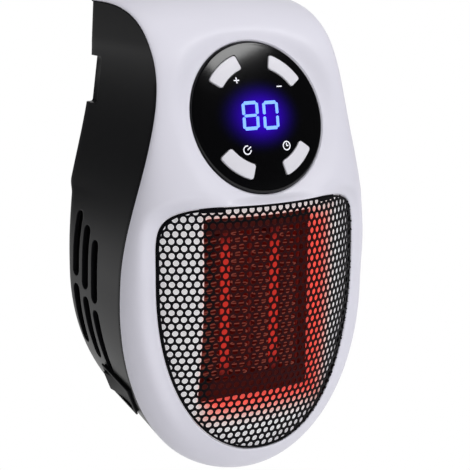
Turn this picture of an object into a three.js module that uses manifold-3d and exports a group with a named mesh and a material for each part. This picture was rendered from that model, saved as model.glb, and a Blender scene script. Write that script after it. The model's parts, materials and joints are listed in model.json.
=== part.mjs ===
// Plug-in fan heater with a swivelling plug, a round display and a perforated air outlet.
// Lengths in millimetres, +Z up, the front towards -Y. The finished part's origin is the centre
// of the plug's face; the pieces are drawn round the centre of the air outlet.
import * as THREE from 'three';
import { mergeVertices } from 'three/addons/utils/BufferGeometryUtils.js';
import Module from 'manifold-3d';

const wasm = await Module();
wasm.setup();

// Housing, seen from the front (heights are over the outlet's centre)
const beltHalfWidth = 50.9;
const beltLow = 5;
const beltHigh = 12;
const shoulderHeight = 92;
const shoulderHalfWidth = 37.9;
const crownHalfWidth = 37.2;
const bellyDepth = 68;
const bellyRoundness = 2.15;

// Housing, seen from the side
const bellyParting = 13.4;
const hoodFoot = 7.6;
const hoodStart = 60;
const hoodLength = 50.9;
const hoodRise = 46.2;
const hoodSquareness = 2.85;
const capBelt = 12;
const capDepth = 23.2;
const capRoundness = 2.6;
const hoodCrown = 4;
const capEaseStart = 15;
const capEaseLength = 65;
const backStep = 5.9;
const stepTop = 42;
const stepFoot = 36;
const waistHeight = 40;
const waistPerDepth = 0.0035;
const heelRise = 9;
const heelHeight = 73;
const backCorner = 1.5;
const wall = 2;
const seam = 0.3;
const clearance = 0.3;
const overrun = 6;

// Air outlet and grille
const grilleHalfWidth = 41.6;
const grilleTop = 38.9;
const grilleBelt = 14;
const grilleBottom = -52;
const grilleTopSquareness = 5.5;
const grilleFootRoundness = 2.2;
const grilleFront = -9.3;
const grilleBendRadius = 73;
const grilleBendHeight = 12;
const grilleLengthRadius = 265;
const grilleThickness = 1;
const grilleRim = 1.7;
const holePitch = 7.6;
const webWidth = 1.5;
const tabWidth = 8;
const tabHeight = 1;
const tabOffset = 24.4;
const outletHalfWidth = 24.5;
const outletHalfHeight = 34.1;
const outletCorner = 2;
const baffleGap = 4;
const baffleThickness = 1.6;
const baffleLap = 2.6;
const ductBack = 21;

// Heater stack
const stackFront = 8.5;
const stackDepth = 10;
const stackHalfHeight = 27;
const finWidth = 7.5;
const barWidth = 3.8;
const plateWidth = 1.2;
const endPlateWidth = 0.8;
const finPitch = 3.6;
const finSheet = 0.35;
const holderLip = 1.3;
const holderBite = 3.7;

// Fan
const fanFlange = 2;
const fanHubRadius = 8.5;
const fanHubBevel = 1.7;
const bladeRootRadius = 7.2;
const bladeRoot = { pitch: THREE.MathUtils.degToRad(42), chord: 7.2 };
const bladeTip = { pitch: THREE.MathUtils.degToRad(22), chord: 13.2 };
const bladeCamberShare = 0.08;
const bladeEdgeShares = [-0.5, -0.2, 0.2, 0.5];
const fanHubLength = 6.3;
const fanBlades = 7;
const bladeThickness = 1;
const fanTipGap = 0.8;
const fanRingWall = 1.6;
const shaftRadius = 1;
const motorRadius = 12.2;
const motorGap = 4.5;
const motorBevel = 1.2;
const motorTailRadius = 2.5;
const shaftHoleRadius = 3;
const cupWall = 1.5;
const cupPlate = 2;
const cupShare = 0.65;
const spokeWidth = 3;
const spokes = 4;
const fanBossRadius = 3.2;
const fanBossLap = 0.6;
const fanBossHeight = 22;
const smallScrewShare = 0.5;
const smallScrewLength = 4.2;

// Display and its keys
const displayDepth = 4.9;
const displayHeight = 67.7;
const displayTilt = THREE.MathUtils.degToRad(17.5);
const displayRadius = 27;
const displayDome = 2.8;
const displayWall = 2;
const displaySkirt = 2.3;
const displayBoardDepth = 8;
const boardThickness = 1.2;
const seatFlare = 1.7;
const seatDrop = 1;
const seatRise = 1.4;
const seatWall = 1.3;
const seatReach = 14;
const keyInner = 17.6;
const keyOuter = 23;
const keySpan = THREE.MathUtils.degToRad(37);
const keyCorner = 1.1;
const keyProud = 0.4;
const keyTravel = 0.6;
const keyFlange = 0.9;
const keyStemRadius = 1.5;
const switchSize = 6;
const switchHeight = 3.1;
const plungerRadius = 1.7;
const plungerHeight = 0.8;
const digitWidth = 20;
const digitHeight = 14;
const receiverSize = 5;
const receiverHeight = 5.4;
const receiverLensRadius = 2;

// Swivelling plug
const plugHeight = 77.5;
const plugProud = 3;
const plugRadius = 18.5;
const plugFlangeRadius = 21;
const plugFlange = 3.4;
const bladeSpacing = 12.7;
const bladeHeight = 6.3;
const bladeWidth = 1.5;
const bladeReach = 17.5;
const bladeTail = 14.5;
const bladeHole = 1.6;
const bladeHoleReach = 11.7;
const retainerThickness = 2.3;
const retainerBore = 14;
const earOffset = 18.6;
const earRadius = 3.6;

// Finger notches and air slots in the cheeks
const notchLow = 69.8;
const notchHigh = 86.6;
const notchReach = 8.5;
const notchDepth = 3;
const slotWidth = 3.6;
const slotColumns = 3;
const upperSlotTop = { depth: 43.9, height: 32.2, depthStep: 5.65, heightStep: 4.55 };
const upperSlotFoot = { depth: 48.1, height: 8.2, depthStep: 6.95, heightStep: 3.8 };
const lowerSlotTop = { depth: 47.9, height: 4.4, depthStep: 7.35, heightStep: 3.45 };
const lowerSlotFoot = { depth: 40.5, height: -14.9, depthStep: 9.5, heightStep: 3.55 };

// Rocker switch
const rockerDepth = 27;
const rockerHeight = -34;
const rockerLength = 20;
const rockerBreadth = 12.4;
const rockerBezel = 1;
const rockerRim = 1.4;
const rockerBodyDepth = 10;
const rockerTilt = THREE.MathUtils.degToRad(5);
const rockerPivotDepth = 2;
const rockerPivotRadius = 1;
const rockerPocket = 6;
const rockerFloor = 1.6;
const rockerBellyShare = 1.2;

// Screws and the posts that take them
const screwHeadRadius = 2.7;
const screwHead = 1.9;
const screwCrownShare = 0.7;
const screwRadius = 1.3;
const screwLength = 9;
const postRadius = 3;
const bossRadius = 3.6;
const bossWeb = 3;
const postInset = 7.6;
const postBite = 1.6;
const upperPost = { height: 95.6, meet: 38 };
const middlePost = { height: 38.2, meet: 20 };
const bottomPost = { height: -57, meet: 13 };

// Power board behind the display
const powerBoardDepth = 33.5;
const powerBoardThickness = 1.6;
const boardHalfWidth = 30;
const boardLow = 42;
const boardHigh = 90;
const standoffRadius = 2.8;
const standoffAcross = 26;
const standoffInset = 5;
const relaySize = { width: 19, depth: 15, height: 15.5 };
const filmSize = { width: 18, depth: 13, height: 8 };
const terminalSize = { width: 20, depth: 10, height: 9 };
const canRadius = 5;
const canLength = 12;
const cutoffRadius = 7;
const cutoffBase = 2.2;
const cutoffHeight = 5.5;
const cutoffCapRadius = 6;
const fuseRadius = 1.8;
const fuseLength = 12;
const safetyAcross = 12;

// Facets
const weldTolerance = 0.0001;
const roundFacets = 24;
const smallFacets = 8;
const archFacets = 16;
const hoodSteps = 8;
const hoodSpacing = 1.3;

// Values that follow from the sizes above
const crownHeight = hoodStart + hoodRise;
const backDepth = hoodFoot + hoodLength;
const lowestPoint = beltLow - bellyDepth;
const lowerBack = backDepth - backStep;
const plugFace = backDepth + plugProud;
const ductWall = baffleThickness;
const stackBack = stackFront + stackDepth;
const flangeFront = ductBack + clearance;
const fanHubFront = flangeFront + fanFlange + clearance;
const fanHubBack = fanHubFront + fanHubLength;
const cupFront = fanHubBack + clearance;
const motorFront = cupFront + cupPlate + clearance;
const motorLength = lowerBack - wall - motorGap - motorFront;
const hoodPower = 2 / hoodSquareness;

const swell = (share) => (1 + Math.cos(Math.PI * THREE.MathUtils.clamp(share, 0, 1))) / 2;
const bulge = (share, power) => Math.max(0, 1 - Math.min(1, Math.abs(share)) ** power) ** (1 / power);

// Joining and cutting of closed meshes

function closed(geometry) {
  geometry.deleteAttribute('normal');
  geometry.deleteAttribute('uv');
  const welded = mergeVertices(geometry, weldTolerance);
  const place = welded.getAttribute('position');
  const corners = [];
  const a = new THREE.Vector3();
  const b = new THREE.Vector3();
  const c = new THREE.Vector3();
  let volume = 0;
  for (let i = 0; i < welded.index.count; i += 3) {
    const [p, q, r] = [0, 1, 2].map((k) => welded.index.getX(i + k));
    if (p === q || q === r || r === p) continue;
    corners.push([p, q, r]);
    volume += a.fromBufferAttribute(place, p).dot(
      b.fromBufferAttribute(place, q).cross(c.fromBufferAttribute(place, r)));
  }
  if (volume < 0) corners.forEach((corner) => corner.reverse());
  welded.setIndex(corners.flat());
  return welded;
}

function solid(geometry) {
  const mesh = closed(geometry);
  return new wasm.Manifold(new wasm.Mesh({
    numProp: 3,
    vertProperties: new Float32Array(mesh.getAttribute('position').array),
    triVerts: new Uint32Array(mesh.index.array),
  }));
}

function surface(body) {
  const mesh = body.getMesh();
  const geometry = new THREE.BufferGeometry();
  geometry.setAttribute('position', new THREE.BufferAttribute(new Float32Array(mesh.vertProperties), 3));
  geometry.setIndex(new THREE.BufferAttribute(new Uint32Array(mesh.triVerts), 1));
  return geometry;
}

const join = (first, ...rest) => rest.reduce((body, extra) => body.add(extra), first);
const cut = (first, ...rest) => rest.reduce((body, tool) => body.subtract(tool), first);

// Plain forms, each between two depths

function block(left, right, front, back, low, high) {
  const geometry = new THREE.BoxGeometry(right - left, back - front, high - low);
  return geometry.translate((left + right) / 2, (front + back) / 2, (low + high) / 2);
}

function rod(radius, front, back, across = 0, height = 0, facets = smallFacets) {
  const geometry = new THREE.CylinderGeometry(radius, radius, back - front, facets);
  return geometry.translate(across, (front + back) / 2, height);
}

function slab(outline, front, back, divisions = 6) {
  const geometry = new THREE.ExtrudeGeometry(outline, {
    depth: back - front, bevelEnabled: false, curveSegments: divisions,
  });
  return geometry.rotateX(Math.PI / 2).translate(0, back, 0);
}

function sideways(outline, left, right, divisions = 3) {
  const geometry = new THREE.ExtrudeGeometry(outline, {
    depth: right - left, bevelEnabled: false, curveSegments: divisions,
  });
  const turn = new THREE.Matrix4().makeBasis(
    new THREE.Vector3(0, 1, 0), new THREE.Vector3(0, 0, 1), new THREE.Vector3(1, 0, 0));
  return geometry.applyMatrix4(turn).translate(left, 0, 0);
}

function turned(profile, facets = roundFacets) {
  return new THREE.LatheGeometry(profile.map(([radius, depth]) => new THREE.Vector2(radius, depth)), facets);
}

function roundedBox(halfWidth, halfHeight, corner) {
  const outline = new THREE.Shape();
  outline.moveTo(-halfWidth + corner, -halfHeight);
  outline.lineTo(halfWidth - corner, -halfHeight);
  outline.absarc(halfWidth - corner, -halfHeight + corner, corner, -Math.PI / 2, 0);
  outline.lineTo(halfWidth, halfHeight - corner);
  outline.absarc(halfWidth - corner, halfHeight - corner, corner, 0, Math.PI / 2);
  outline.lineTo(-halfWidth + corner, halfHeight);
  outline.absarc(-halfWidth + corner, halfHeight - corner, corner, Math.PI / 2, Math.PI);
  outline.lineTo(-halfWidth, -halfHeight + corner);
  outline.absarc(-halfWidth + corner, -halfHeight + corner, corner, Math.PI, Math.PI * 1.5);
  return outline;
}

// A skin over rings of equal count. In each ring point i faces point n - 1 - i across the
// middle, so both ends are closed by a ladder of rungs.
function loft(rings) {
  const corners = [];
  const quad = (a, b, c, d) => corners.push(a, b, c, a, c, d);
  for (let k = 0; k + 1 < rings.length; k += 1) {
    const near = rings[k];
    const far = rings[k + 1];
    near.forEach((point, i) => {
      const next = (i + 1) % near.length;
      quad(point, near[next], far[next], far[i]);
    });
  }
  const ladder = (ring, flip) => {
    const last = ring.length - 1;
    for (let i = 0; i + 1 <= last - i - 1; i += 1) {
      const rungs = [ring[i], ring[last - i], ring[last - i - 1], ring[i + 1]];
      quad(...(flip ? rungs.reverse() : rungs));
    }
  };
  ladder(rings[0], false);
  ladder(rings[rings.length - 1], true);
  const geometry = new THREE.BufferGeometry().setFromPoints(corners);
  return closed(geometry);
}

// Housing form

function halfWidth(height, inset = 0) {
  if (height > shoulderHeight) {
    const climb = (height - shoulderHeight) / (crownHeight - shoulderHeight);
    return THREE.MathUtils.lerp(shoulderHalfWidth, crownHalfWidth, climb) - inset;
  }
  if (height > beltHigh) {
    const climb = (height - beltHigh) / (shoulderHeight - beltHigh);
    return shoulderHalfWidth + (beltHalfWidth - shoulderHalfWidth) * swell(climb) - inset;
  }
  if (height > beltLow) return beltHalfWidth - inset;
  return (beltHalfWidth - inset) * bulge((beltLow - height) / (bellyDepth - inset), bellyRoundness);
}

// How far the front cover stands out from the parting line, along the line's own normal
function capHeight(height, inset = 0) {
  if (height < capBelt) {
    return (capDepth - inset) * bulge((capBelt - height) / (capBelt - lowestPoint - inset), capRoundness);
  }
  return hoodCrown + (capDepth - hoodCrown) * swell((height - capEaseStart) / capEaseLength) - inset;
}

// Parting line up the front: the belly's depth, eased into the foot of the hood
function partingDepth(height) {
  return hoodFoot + (bellyParting - hoodFoot) * swell(height / hoodStart);
}

// Parting line over the top: a quarter superellipse from the hood's foot to the back
function hoodPlace(turn) {
  const ahead = Math.max(0, Math.cos(turn));
  const above = Math.sin(turn);
  const out = new THREE.Vector2(
    -(ahead ** (2 - hoodPower)) / hoodLength, above ** (2 - hoodPower) / hoodRise).normalize();
  return {
    depth: backDepth - hoodLength * ahead ** hoodPower,
    height: hoodStart + hoodRise * above ** hoodPower,
    out: [out.x, out.y],
  };
}

// Places along the parting line from the foot of the hood, closer together where it bends most
function hoodTurns(end = 0) {
  const last = Math.acos((end / hoodLength) ** (1 / hoodPower));
  return evenly(0, 1, hoodSteps).map((share) => last * share ** hoodSpacing);
}

function bellyHeights(inset, steps) {
  const heights = [];
  for (let k = 0; k < steps; k += 1) {
    const turn = (Math.PI / 2) * (1 - k / steps);
    heights.push(beltLow - (bellyDepth - inset) * Math.sin(turn) ** (2 / bellyRoundness));
  }
  return heights;
}

function evenly(from, to, steps) {
  return Array.from({ length: steps + 1 }, (_, k) => THREE.MathUtils.lerp(from, to, k / steps));
}

function coverForm(inset, reach, end, facets) {
  const stations = [
    ...[...bellyHeights(inset, 8), ...evenly(beltLow, hoodStart, facets / 2 - 1)].map(
      (height) => ({ depth: partingDepth(height), height, out: [-1, 0] })),
    ...hoodTurns(end).slice(1).map(hoodPlace),
  ];
  const rings = stations.map(({ depth, height, out }) => {
    const width = halfWidth(height, inset);
    const rise = capHeight(height, inset);
    const place = (across, stand) => new THREE.Vector3(across, depth + out[0] * stand, height + out[1] * stand);
    const ring = evenly(Math.PI, 0, facets).map(
      (turn) => place(width * Math.cos(turn), rise * Math.sin(turn)));
    return reach > 0 ? [place(-width, -reach), ...ring, place(width, -reach)] : ring;
  });
  return solid(loft(rings));
}

function frontOf(height, gap) {
  if (height <= hoodStart) return partingDepth(height) + gap;
  return backDepth - (hoodLength - gap) * bulge((height - hoodStart) / (hoodRise - gap), hoodSquareness);
}

function backOf(height) {
  if (height >= stepTop) return backDepth;
  if (height >= stepFoot) {
    const climb = (height - stepFoot) / (stepTop - stepFoot);
    return THREE.MathUtils.lerp(lowerBack + backStep / 2, backDepth, climb);
  }
  if (height >= beltHigh) {
    return lowerBack + (backStep / 2) * ((height - beltHigh) / (stepFoot - beltHigh)) ** 2;
  }
  return lowerBack - heelRise * ((beltHigh - height) / heelHeight) ** 2;
}

// Below the waist each layer of the rear shell is drawn up a little more than the one before
function drawnUp(height, depth) {
  if (height >= waistHeight) return height;
  return waistHeight - (waistHeight - height) * (1 - waistPerDepth * Math.max(0, depth - bellyParting));
}

// Moves the points of a ring into the outline, square to it
function drawnIn(ring, distances) {
  return ring.map((point, i) => {
    const before = ring[Math.max(0, i - 1)];
    const after = ring[Math.min(ring.length - 1, i + 1)];
    const end = i === 0 || i === ring.length - 1;
    const inward = end
      ? new THREE.Vector3(-Math.sign(point.x), 0, 0)
      : new THREE.Vector3(-(after.z - before.z), 0, after.x - before.x).normalize();
    return point.clone().addScaledVector(inward, distances[i]);
  });
}

function rearForm({ gap = 0, inset = 0, front = null, top = 0, finer = 1 }) {
  const roof = crownHeight - gap + top;
  const upper = top > 0
    ? evenly(roof, hoodStart, 5)
    : hoodTurns().reverse().map((turn) => hoodStart + (hoodRise - gap) * Math.sin(turn) ** hoodPower);
  const heights = [
    ...upper.slice(0, -1),
    ...evenly(hoodStart, stepTop, 2).slice(0, -1),
    ...evenly(stepTop, stepFoot, 1),
    ...evenly(stepFoot, beltLow, 3).slice(1),
    ...bellyHeights(0, 4 + 4 * finer).reverse(),
  ];
  const side = (sign) => heights.map((height) => ({ sign, height }));
  const outline = [...side(-1), ...side(1).reverse().slice(1)];
  const layer = (share, turn) => {
    const radii = [];
    const ring = outline.map(({ sign, height }) => {
      const start = front === null ? frontOf(height, gap) : front;
      const back = backOf(height) - inset;
      const radius = Math.min(Math.max(backCorner - inset, backCorner / 4), (back - start) / 2);
      const depth = start + (back - radius - start) * share + radius * Math.sin(turn);
      radii.push(inset + radius * (1 - Math.cos(turn)));
      return new THREE.Vector3(sign * halfWidth(height), depth, drawnUp(height, depth));
    });
    return drawnIn(ring, radii);
  };
  const layers = [
    ...evenly(0, 1, 1).map((share) => layer(share, 0)),
    ...evenly(0, Math.PI / 2, 1 + finer).slice(1).map((turn) => layer(1, turn)),
  ];
  return solid(loft(layers));
}

const coverOuter = coverForm(0, 0, 0, archFacets);
const coverInner = coverForm(wall, overrun, wall, archFacets - 6);
const rearOuter = rearForm({ gap: seam });
const rearInner = rearForm({ inset: wall, front: hoodFoot - overrun, top: overrun, finer: 0 });
const wholeOuter = join(coverOuter, rearForm({}));
const smallScrewRadius = screwRadius * smallScrewShare;
const smallScrewHole = smallScrewRadius + clearance;

// Grille outline and the bent surface that it lies on

function grilleOutline(grow = 0, steps = 18) {
  const halfWide = grilleHalfWidth + grow;
  const quarter = (power, reach) => evenly(0, Math.PI / 2, steps / 2).map((turn) => [
    halfWide * Math.cos(turn) ** (2 / power),
    grilleBelt + reach * Math.sin(turn) ** (2 / power),
  ]);
  const top = quarter(grilleTopSquareness, grilleTop - grilleBelt + grow);
  const foot = quarter(grilleFootRoundness, grilleBottom - grilleBelt - grow);
  const mirrored = (side) => side.map(([x, z]) => [-x, z]).reverse();
  const left = [...mirrored(top).slice(1), ...mirrored(foot).reverse().slice(1)];
  return [...top, ...left, ...foot.reverse().slice(1, -1)];
}

function shapeOf(points) {
  return new THREE.Shape(points.map(([x, z]) => new THREE.Vector2(x, z)));
}

function grilleSurface(x, z) {
  const across = grilleBendRadius - Math.sqrt(Math.max(0, grilleBendRadius ** 2 - x * x));
  return grilleFront + across + (z - grilleBendHeight) ** 2 / (2 * grilleLengthRadius);
}

// A sheet made of flat patches that share their edges, bent to the grille's surface
function bentSheet(patches, shift, thickness) {
  const corners = [];
  const edges = new Map();
  const name = ([x, z]) => `${x.toFixed(3)},${z.toFixed(3)}`;
  const near = ([x, z]) => new THREE.Vector3(x, grilleSurface(x, z) + shift, z);
  const far = (point) => near(point).add(new THREE.Vector3(0, thickness, 0));
  patches.forEach((patch) => {
    for (let i = 1; i + 1 < patch.length; i += 1) {
      corners.push(near(patch[0]), near(patch[i]), near(patch[i + 1]));
      corners.push(far(patch[0]), far(patch[i + 1]), far(patch[i]));
    }
    patch.forEach((point, i) => {
      const next = patch[(i + 1) % patch.length];
      const back = `${name(next)};${name(point)}`;
      if (edges.has(back)) edges.delete(back);
      else edges.set(`${name(point)};${name(next)}`, [point, next]);
    });
  });
  edges.forEach(([from, to]) => {
    corners.push(near(to), near(from), far(from), near(to), far(from), far(to));
  });
  return solid(new THREE.BufferGeometry().setFromPoints(corners));
}

// Strips between an outline and larger ones of the same shape
function ringPatches(outlines) {
  const patches = [];
  for (let k = 0; k + 1 < outlines.length; k += 1) {
    const inner = outlines[k];
    const outer = outlines[k + 1];
    inner.forEach((point, i) => {
      const next = (i + 1) % inner.length;
      patches.push([point, outer[i], outer[next], inner[next]]);
    });
  }
  return patches;
}

// Webs and knots between six-sided holes in staggered rows
function honeycombPatches() {
  const rowStep = holePitch * Math.sqrt(0.75);
  const holeRadius = (holePitch - webWidth) / Math.sqrt(3);
  const columns = Math.ceil(grilleHalfWidth / holePitch) + 2;
  const lowRow = Math.floor(grilleBottom / rowStep) - 1;
  const highRow = Math.ceil(grilleTop / rowStep) + 1;
  const corner = (column, row, sixth) => {
    const stagger = ((row % 2) + 2) % 2 / 2;
    const angle = (sixth + 1 / 2) * (Math.PI / 3);
    return [
      (column + stagger) * holePitch + holeRadius * Math.cos(angle),
      row * rowStep + holeRadius * Math.sin(angle),
    ];
  };
  const patches = [];
  for (let row = lowRow; row <= highRow; row += 1) {
    const odd = ((row % 2) + 2) % 2;
    for (let column = -columns; column <= columns; column += 1) {
      const right = [column + 1, row];
      const upRight = [column + odd, row + 1];
      const upLeft = [column + odd - 1, row + 1];
      const here = [column, row];
      patches.push([corner(...here, -1), corner(...right, 3), corner(...right, 2), corner(...here, 0)]);
      patches.push([corner(...here, 0), corner(...upRight, 4), corner(...upRight, 3), corner(...here, 1)]);
      patches.push([corner(...here, 1), corner(...upLeft, -1), corner(...upLeft, 4), corner(...here, 2)]);
      patches.push([corner(...here, 0), corner(...right, 2), corner(...upRight, 4)]);
      patches.push([corner(...here, 1), corner(...upRight, 3), corner(...upLeft, -1)]);
    }
  }
  return patches;
}

// Tabs that run on from the sheet at its top edge, and the openings that they stand in
function tabSheet(sign) {
  const foot = grilleTop - grilleRim;
  const head = grilleTop + tabHeight;
  const steps = evenly(sign * tabOffset - tabWidth / 2, sign * tabOffset + tabWidth / 2, 2);
  const patches = steps.slice(1).map(
    (right, k) => [[steps[k], foot], [right, foot], [right, head], [steps[k], head]]);
  const recess = grilleThickness / 8;
  return bentSheet(patches, recess, grilleThickness - recess * 2);
}

function tabOpening(sign) {
  const across = sign * tabOffset;
  const front = grilleSurface(tabOffset - tabWidth / 2, grilleTop) - clearance;
  const back = grilleSurface(tabOffset + tabWidth / 2, grilleTop) + grilleThickness + clearance;
  return solid(block(
    across - tabWidth / 2 - clearance, across + tabWidth / 2 + clearance, front, back,
    grilleTop - grilleRim, grilleTop + tabHeight + clearance));
}

function makeGrille() {
  const outer = grilleOutline();
  const rim = bentSheet(ringPatches([grilleOutline(-grilleRim), outer]), 0, grilleThickness);
  const frontLimit = grilleFront - overrun;
  const mask = solid(slab(shapeOf(grilleOutline(-grilleRim / 2)), frontLimit, bellyParting));
  const net = bentSheet(honeycombPatches(), 0, grilleThickness).intersect(mask);
  return join(rim, net, tabSheet(-1), tabSheet(1));
}

// The display's seat as a turned form: a dish that opens outwards, and the bore behind it
function seatForm(grow) {
  const rim = displayRadius + clearance + grow;
  return solid(turned([
    [0, -seatReach],
    [rim + seatFlare * 2, -seatReach],
    [rim + seatFlare, -seatRise],
    [rim + seatFlare / 2, grow],
    [rim, seatDrop + grow],
    [0, seatDrop + grow],
  ]).applyMatrix4(displayFrame.matrix));
}

function ductShape() {
  return roundedBox(outletHalfWidth + ductWall, outletHalfHeight + ductWall, outletCorner + ductWall);
}

function makeAirBaffle() {
  const shares = [0.4, 0.7, 1];
  const edge = grilleOutline(baffleLap, 12);
  const rings = shares.map((share) => edge.map(([x, z]) => [x * share, z * share]));
  const plate = bentSheet(ringPatches(rings), baffleGap, baffleThickness);
  const duct = solid(slab(ductShape(), grilleFront + baffleGap, ductBack, 3));
  const middle = edge.map(() => [0, 0]);
  const ahead = bentSheet(ringPatches([middle, edge]), baffleGap - overrun * 2, overrun * 2);
  const bosses = fanScrews.map(({ across, height }) => {
    const root = grilleSurface(across, height) + baffleGap + baffleThickness / 2;
    return solid(rod(fanBossRadius, root, ductBack, across, height));
  });
  const pilots = fanScrews.map(({ across, height }) => solid(
    rod(smallScrewHole, ductBack - smallScrewLength * 2, ductBack + overrun, across, height)));
  const openShape = roundedBox(outletHalfWidth, outletHalfHeight, outletCorner);
  const open = solid(slab(openShape, grilleFront - overrun, ductBack + overrun, 3));
  const posts = casePosts.filter(({ height }) => height < hoodStart).map(({ across, height }) => solid(
    rod(postRadius + clearance, grilleFront, ductBack, across, height)));
  const body = join(plate, cut(duct, ahead), ...bosses);
  return cut(body, open, seatForm(seatWall + clearance), ...pilots, ...posts);
}

// Posts, bosses and screws that hold the covers together

const casePosts = [
  { ...upperPost, sign: -1 },
  { ...upperPost, sign: 1 },
  { ...middlePost, sign: -1 },
  { ...middlePost, sign: 1 },
  { ...bottomPost, sign: 0 },
].map(({ height, meet, sign }) => ({ across: sign * halfWidth(height, postInset), height, meet }));

// Where a post leaves the front cover's wall
function postRoot({ across, height }) {
  const arch = Math.sqrt(Math.max(0, 1 - (across / halfWidth(height)) ** 2));
  return frontOf(height, 0) - capHeight(height) * arch + postBite;
}

function makeFrontCover() {
  const posts = casePosts.map((post) => solid(
    rod(postRadius, postRoot(post), post.meet, post.across, post.height)).intersect(wholeOuter));
  const pilots = casePosts.map(({ across, height, meet }) => solid(
    rod(screwRadius + clearance, meet - screwLength + bossWeb, meet + overrun, across, height)));
  const outline = shapeOf(grilleOutline(clearance));
  const opening = solid(slab(outline, grilleFront - overrun * 2, bellyParting - wall));
  const bore = solid(rod(displayRadius + clearance, -seatReach, seatReach, 0, 0, roundFacets)
    .applyMatrix4(displayFrame.matrix));
  const cup = seatForm(seatWall).intersect(coverOuter);
  const shell = join(cut(coverOuter, coverInner), cup, ...posts);
  return cut(shell, ...pilots, opening, seatForm(0), bore, tabOpening(-1), tabOpening(1));
}

function slotShape(top, foot, column) {
  const high = new THREE.Vector2(top.depth - top.depthStep * column, top.height - top.heightStep * column);
  const low = new THREE.Vector2(foot.depth - foot.depthStep * column, foot.height - foot.heightStep * column);
  const lean = low.clone().sub(high).angle();
  const radius = slotWidth / 2;
  const outline = new THREE.Shape();
  outline.absarc(low.x, low.y, radius, lean - Math.PI / 2, lean + Math.PI / 2);
  outline.absarc(high.x, high.y, radius, lean + Math.PI / 2, lean + Math.PI * 1.5);
  return outline;
}

// A finger notch seen from behind: its floor runs parallel to the cheek
function notchShape(sign, grow) {
  const low = notchLow - grow;
  const high = notchHigh + grow;
  return shapeOf([
    [sign * halfWidth(low, notchDepth + grow), low],
    [sign * beltHalfWidth, low],
    [sign * beltHalfWidth, high],
    [sign * halfWidth(high, notchDepth + grow), high],
  ]);
}

function makeRearCover() {
  const tools = [];
  const extras = [];
  [-1, 1].forEach((sign) => {
    const bounds = (near, far) => [Math.min(sign * near, sign * far), Math.max(sign * near, sign * far)];
    tools.push(solid(slab(notchShape(sign, 0), backDepth - notchReach, backDepth + overrun)));
    const pocket = solid(slab(notchShape(sign, wall), backDepth - notchReach - wall, backDepth));
    extras.push(pocket.intersect(rearOuter));
    const [slotLeft, slotRight] = bounds(beltHalfWidth - overrun * 2, beltHalfWidth + overrun);
    for (let column = 0; column < slotColumns; column += 1) {
      tools.push(solid(sideways(slotShape(upperSlotTop, upperSlotFoot, column), slotLeft, slotRight)));
      tools.push(solid(sideways(slotShape(lowerSlotTop, lowerSlotFoot, column), slotLeft, slotRight)));
    }
  });
  casePosts.forEach(({ across, height, meet }) => {
    extras.push(solid(rod(bossRadius, meet + seam, backDepth, across, height)).intersect(rearOuter));
    const well = meet + seam + bossWeb;
    tools.push(solid(rod(screwHeadRadius + clearance, well, backDepth + overrun, across, height)));
    tools.push(solid(rod(screwRadius + clearance, meet, backDepth, across, height)));
  });
  standoffs.forEach(({ across, height }) => {
    const start = powerBoardDepth + powerBoardThickness + clearance;
    extras.push(solid(rod(standoffRadius, start, backDepth - wall / 2, across, height)));
    tools.push(solid(rod(screwRadius + clearance, start - overrun, start + screwLength, across, height)));
  });
  retainerEars.forEach(({ across, height }) => {
    const start = retainerFront + retainerThickness + clearance;
    extras.push(solid(rod(earRadius, start, backDepth - wall / 2, across, height)));
    tools.push(solid(rod(smallScrewHole, start - overrun, backDepth - wall / 2, across, height)));
  });
  tools.push(solid(rod(plugRadius + clearance, retainerFront, plugFace, 0, plugHeight, roundFacets)));
  tools.push(solid(block(
    -(rockerBreadth / 2 - rockerRim / 2) - clearance, rockerBreadth / 2 - rockerRim / 2 + clearance,
    -(rockerLength / 2 - rockerRim / 2) - clearance, rockerLength / 2 - rockerRim / 2 + clearance,
    -rockerBodyDepth, rockerBodyDepth).applyMatrix4(rockerFrame.matrix)));
  const shell = join(cut(rearOuter, rearInner), ...extras);
  return cut(shell, ...tools);
}

// Screw with a domed head, whose underside is at depth zero and whose point is to the front
function screwForm(radius, length) {
  const head = screwHeadRadius * (radius / screwRadius) ** smallScrewShare;
  return turned([
    [0, -length],
    [radius, radius - length],
    [radius, 0],
    [head, 0],
    [head, screwHead / 2],
    [head * screwCrownShare, screwHead],
    [0, screwHead],
  ], smallFacets);
}

// Places used by more than one piece

function frameAt(x, y, z, turnX, turnY) {
  const frame = new THREE.Group();
  frame.position.set(x, y, z);
  frame.rotation.set(turnX, turnY, 0);
  frame.updateMatrix();
  return frame;
}

function frameOnSide(height, depth) {
  const place = (z, y) => new THREE.Vector3(-halfWidth(z), y, drawnUp(z, y));
  const here = place(height, depth);
  const back = place(height, depth + wall).sub(here).normalize();
  const up = place(height + wall, depth).sub(here);
  const out = up.cross(back).normalize();
  const frame = new THREE.Group();
  frame.position.copy(here);
  frame.quaternion.setFromRotationMatrix(new THREE.Matrix4().makeBasis(back.clone().cross(out), back, out));
  frame.updateMatrix();
  return frame;
}

// Inside displayFrame -Y is the panel's outward normal and +Z its upward direction
const displayFrame = frameAt(0, displayDepth, displayHeight, -displayTilt, 0);
// Inside rockerFrame +Z is the outward normal of the rear cover's left side and Y the long side
const rockerFrame = frameOnSide(rockerHeight, rockerDepth);

const keyPlaces = [
  { name: 'button_upper_left', turn: 125 },
  { name: 'button_upper_right', turn: 51.5 },
  { name: 'button_lower_left', turn: -125.5 },
  { name: 'button_lower_right', turn: -51.5 },
].map(({ name, turn }) => ({ name, turn: THREE.MathUtils.degToRad(turn) }));

const fanScrews = [-1, 1].flatMap((sign) => [-1, 1].map((up) => ({
  across: sign * (outletHalfWidth + ductWall + fanBossRadius - fanBossLap), height: up * fanBossHeight,
})));

const standoffs = [
  { across: -standoffAcross, height: boardLow + standoffInset },
  { across: standoffAcross, height: boardHigh - standoffInset },
];

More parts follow.
